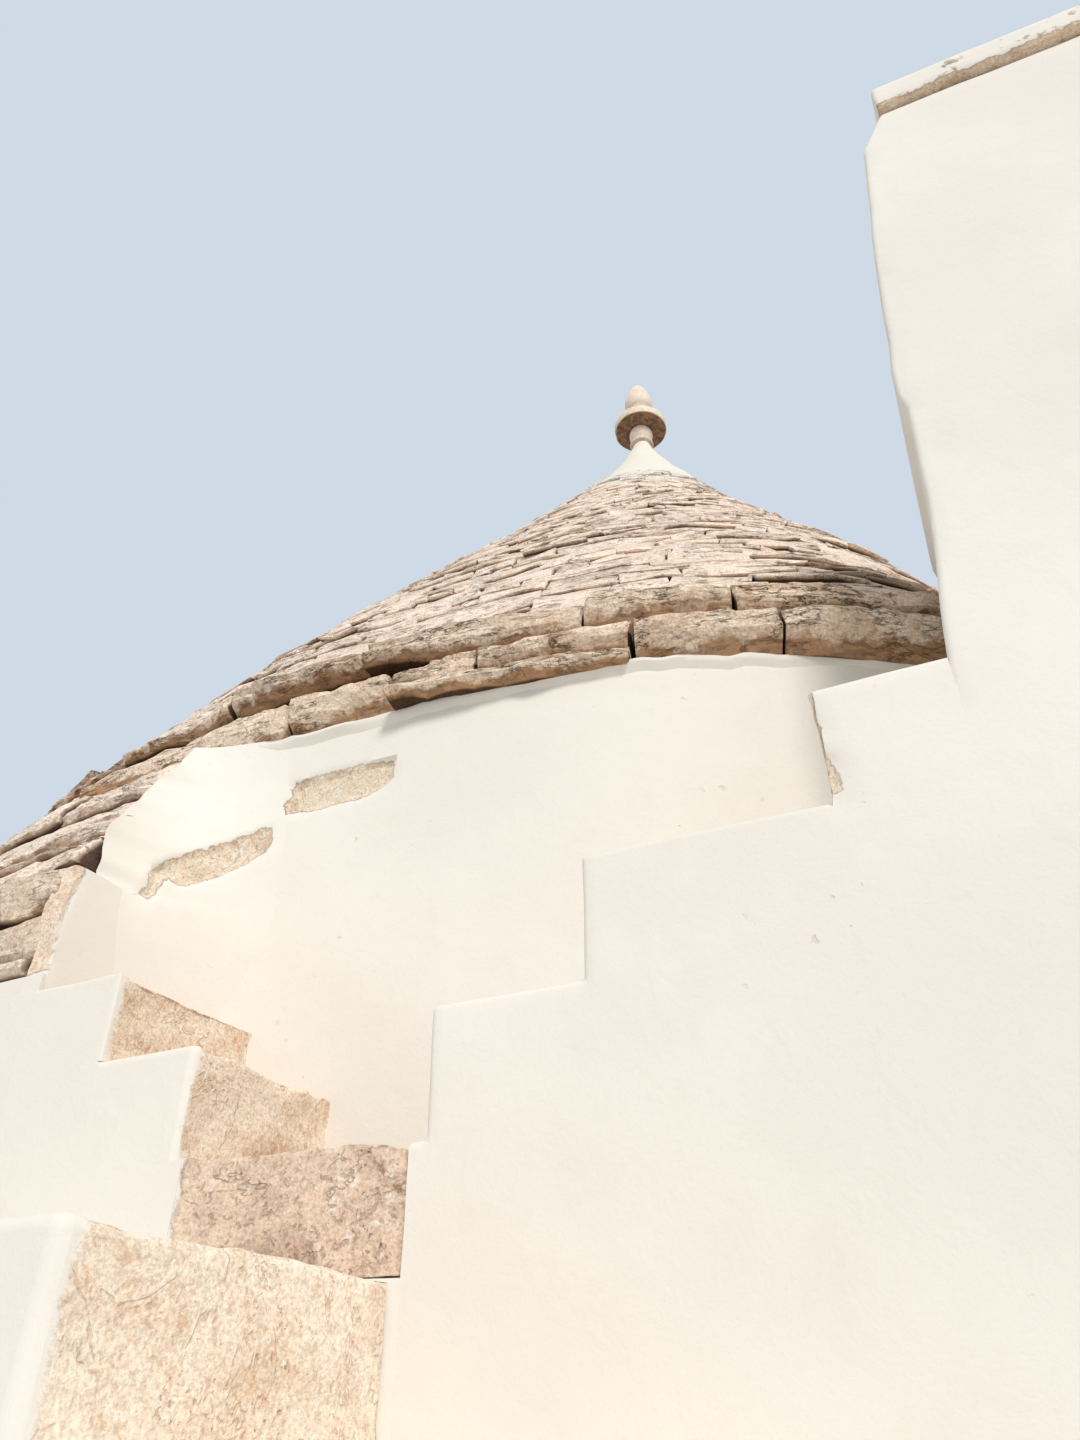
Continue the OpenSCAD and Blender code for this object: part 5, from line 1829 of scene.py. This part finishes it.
def planked_leaf(name, face_side, seed):
    """One leaf, with its planked face toward +X or -X."""
    rng = np.random.default_rng(seed)
    low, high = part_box(name)
    thick = (high.x - low.x) * plank_share
    if face_side > 0:
        planks, battens, face = (high.x - thick, high.x), (low.x, high.x - thick), high.x
    else:
        planks, battens, face = (low.x, low.x + thick), (low.x + thick, high.x), low.x
    count = max(3, round((high.y - low.y) / plank_width))
    step = (high.y - low.y) / count
    solids = []
    for i in range(count):
        foot = low.z + rng.uniform(0, 0.006)
        solids.append(board(*planks, low.y + i * step + plank_gap, low.y + (i + 1) * step - plank_gap,
                            foot, high.z))
    batten_levels = [low.z + (high.z - low.z) * share for share in batten_shares]
    for level in batten_levels:
        solids.append(board(*battens, low.y + batten_inset, high.y - batten_inset, level - half_batten,
                            level + half_batten))
    tones = own_tones(rng, solids)
    mesh = join_solids(name, solids)
    mark(mesh, "tone", tones)
    mesh_piece(name, mesh, [name], door_material)
    nails = bmesh.new()
    for level in batten_levels:
        for i in range(count):
            for side, up in ((0.3, -0.022), (0.7, 0.022)):
                stud(nails, nail_radius, 10, 6, 0.45, (face, low.y + (i + side) * step, level + up))
    ring_y = low.y + pull_inset
    ring_z = low.z + pull_height
    stud(nails, plate_radius, 16, 8, 0.25, (face, ring_y, ring_z))
    rings = []
    for i in range(ring_steps):
        turn = math.pi * 2 * i / ring_steps
        wire = []
        for j in range(wire_steps):
            roll = math.pi * 2 * j / wire_steps
            reach = ring_radius + wire_radius * math.sin(roll)
            wire.append(nails.verts.new((face + face_side * (ring_out + wire_radius * math.cos(roll)),
                                         ring_y + reach * math.sin(turn),
                                         ring_z - ring_drop - reach * math.cos(turn))))
        rings.append(wire)
    for i in range(ring_steps):
        after = rings[(i + 1) % ring_steps]
        for j in range(wire_steps):
            k = (j + 1) % wire_steps
            nails.faces.new((rings[i][j], after[j], after[k], rings[i][k]))
    bmesh.ops.recalc_face_normals(nails, faces=nails.faces)
    nail_mesh = solid_mesh(name + "_iron", nails)
    nail_mesh.shade_smooth()
    mesh_piece(name + "_iron", nail_mesh, None, iron)


planked_leaf("door_leaf_left", 1, 3)
planked_leaf("door_leaf_right", -1, 4)
planked_leaf("annex_door_leaf", 1, 5)

# Window: a wooden frame set deep in the wall, with a mullion, two glazing bars and a
# pane of thin, slightly uneven glass.
frame_low, frame_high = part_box("window_frame")
pane_low, pane_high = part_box("window_pane")
bar = pane_low.y - frame_low.y
glazing = 0.022
half_mullion = 0.018
left_y = frame_low.y + bar
right_y = frame_high.y - bar
foot_z = frame_low.z + bar
head_z = frame_high.z - bar
frame_parts = [
    board(frame_low.x, frame_high.x, frame_low.y, left_y, frame_low.z, frame_high.z),
    board(frame_low.x, frame_high.x, right_y, frame_high.y, frame_low.z, frame_high.z),
    board(frame_low.x, frame_high.x, left_y, right_y, frame_low.z, foot_z),
    board(frame_low.x, frame_high.x, left_y, right_y, head_z, frame_high.z),
    board(frame_low.x + 0.008, frame_high.x - 0.008, -half_mullion, half_mullion, foot_z, head_z)]
middle_z = (frame_low.z + frame_high.z) / 2
for y0, y1 in ((left_y, -half_mullion), (half_mullion, right_y)):
    frame_parts.append(board(pane_low.x - 0.012, pane_high.x + 0.012, y0, y1, middle_z - glazing / 2,
                             middle_z + glazing / 2))
frame_tones = own_tones(np.random.default_rng(6), frame_parts)
frame_mesh = join_solids("window_frame", frame_parts)
mark(frame_mesh, "tone", frame_tones)
mesh_piece("window_frame", frame_mesh, ["window_frame"], door_material)

glass, glass_tree, glass_shader, glass_place = start_material("window glass")
glass_shader.inputs["Transmission Weight"].default_value = 1.0
glass_shader.inputs["IOR"].default_value = 1.45
glass_wave = noise_texture(glass_tree, glass_place, 5.0, 2.0, 0.5)
glass_tint = blend_colour(glass_tree, glass_wave, (0.74, 0.82, 0.83), (0.80, 0.87, 0.87))
glass_tree.links.new(glass_tint, glass_shader.inputs["Base Color"])
glass_tree.links.new(spread(glass_tree, glass_wave, 0.3, 0.7, 0.02, 0.07), glass_shader.inputs["Roughness"])
raise_relief(glass_tree, glass_shader, times(glass_tree, glass_wave, 0.002))
pane_mesh = solid_mesh("window_pane", board(pane_low.x, pane_high.x, pane_low.y, pane_high.y,
                                            pane_low.z, pane_high.z, 0.001))
mesh_piece("window_pane", pane_mesh, ["window_pane"], glass)
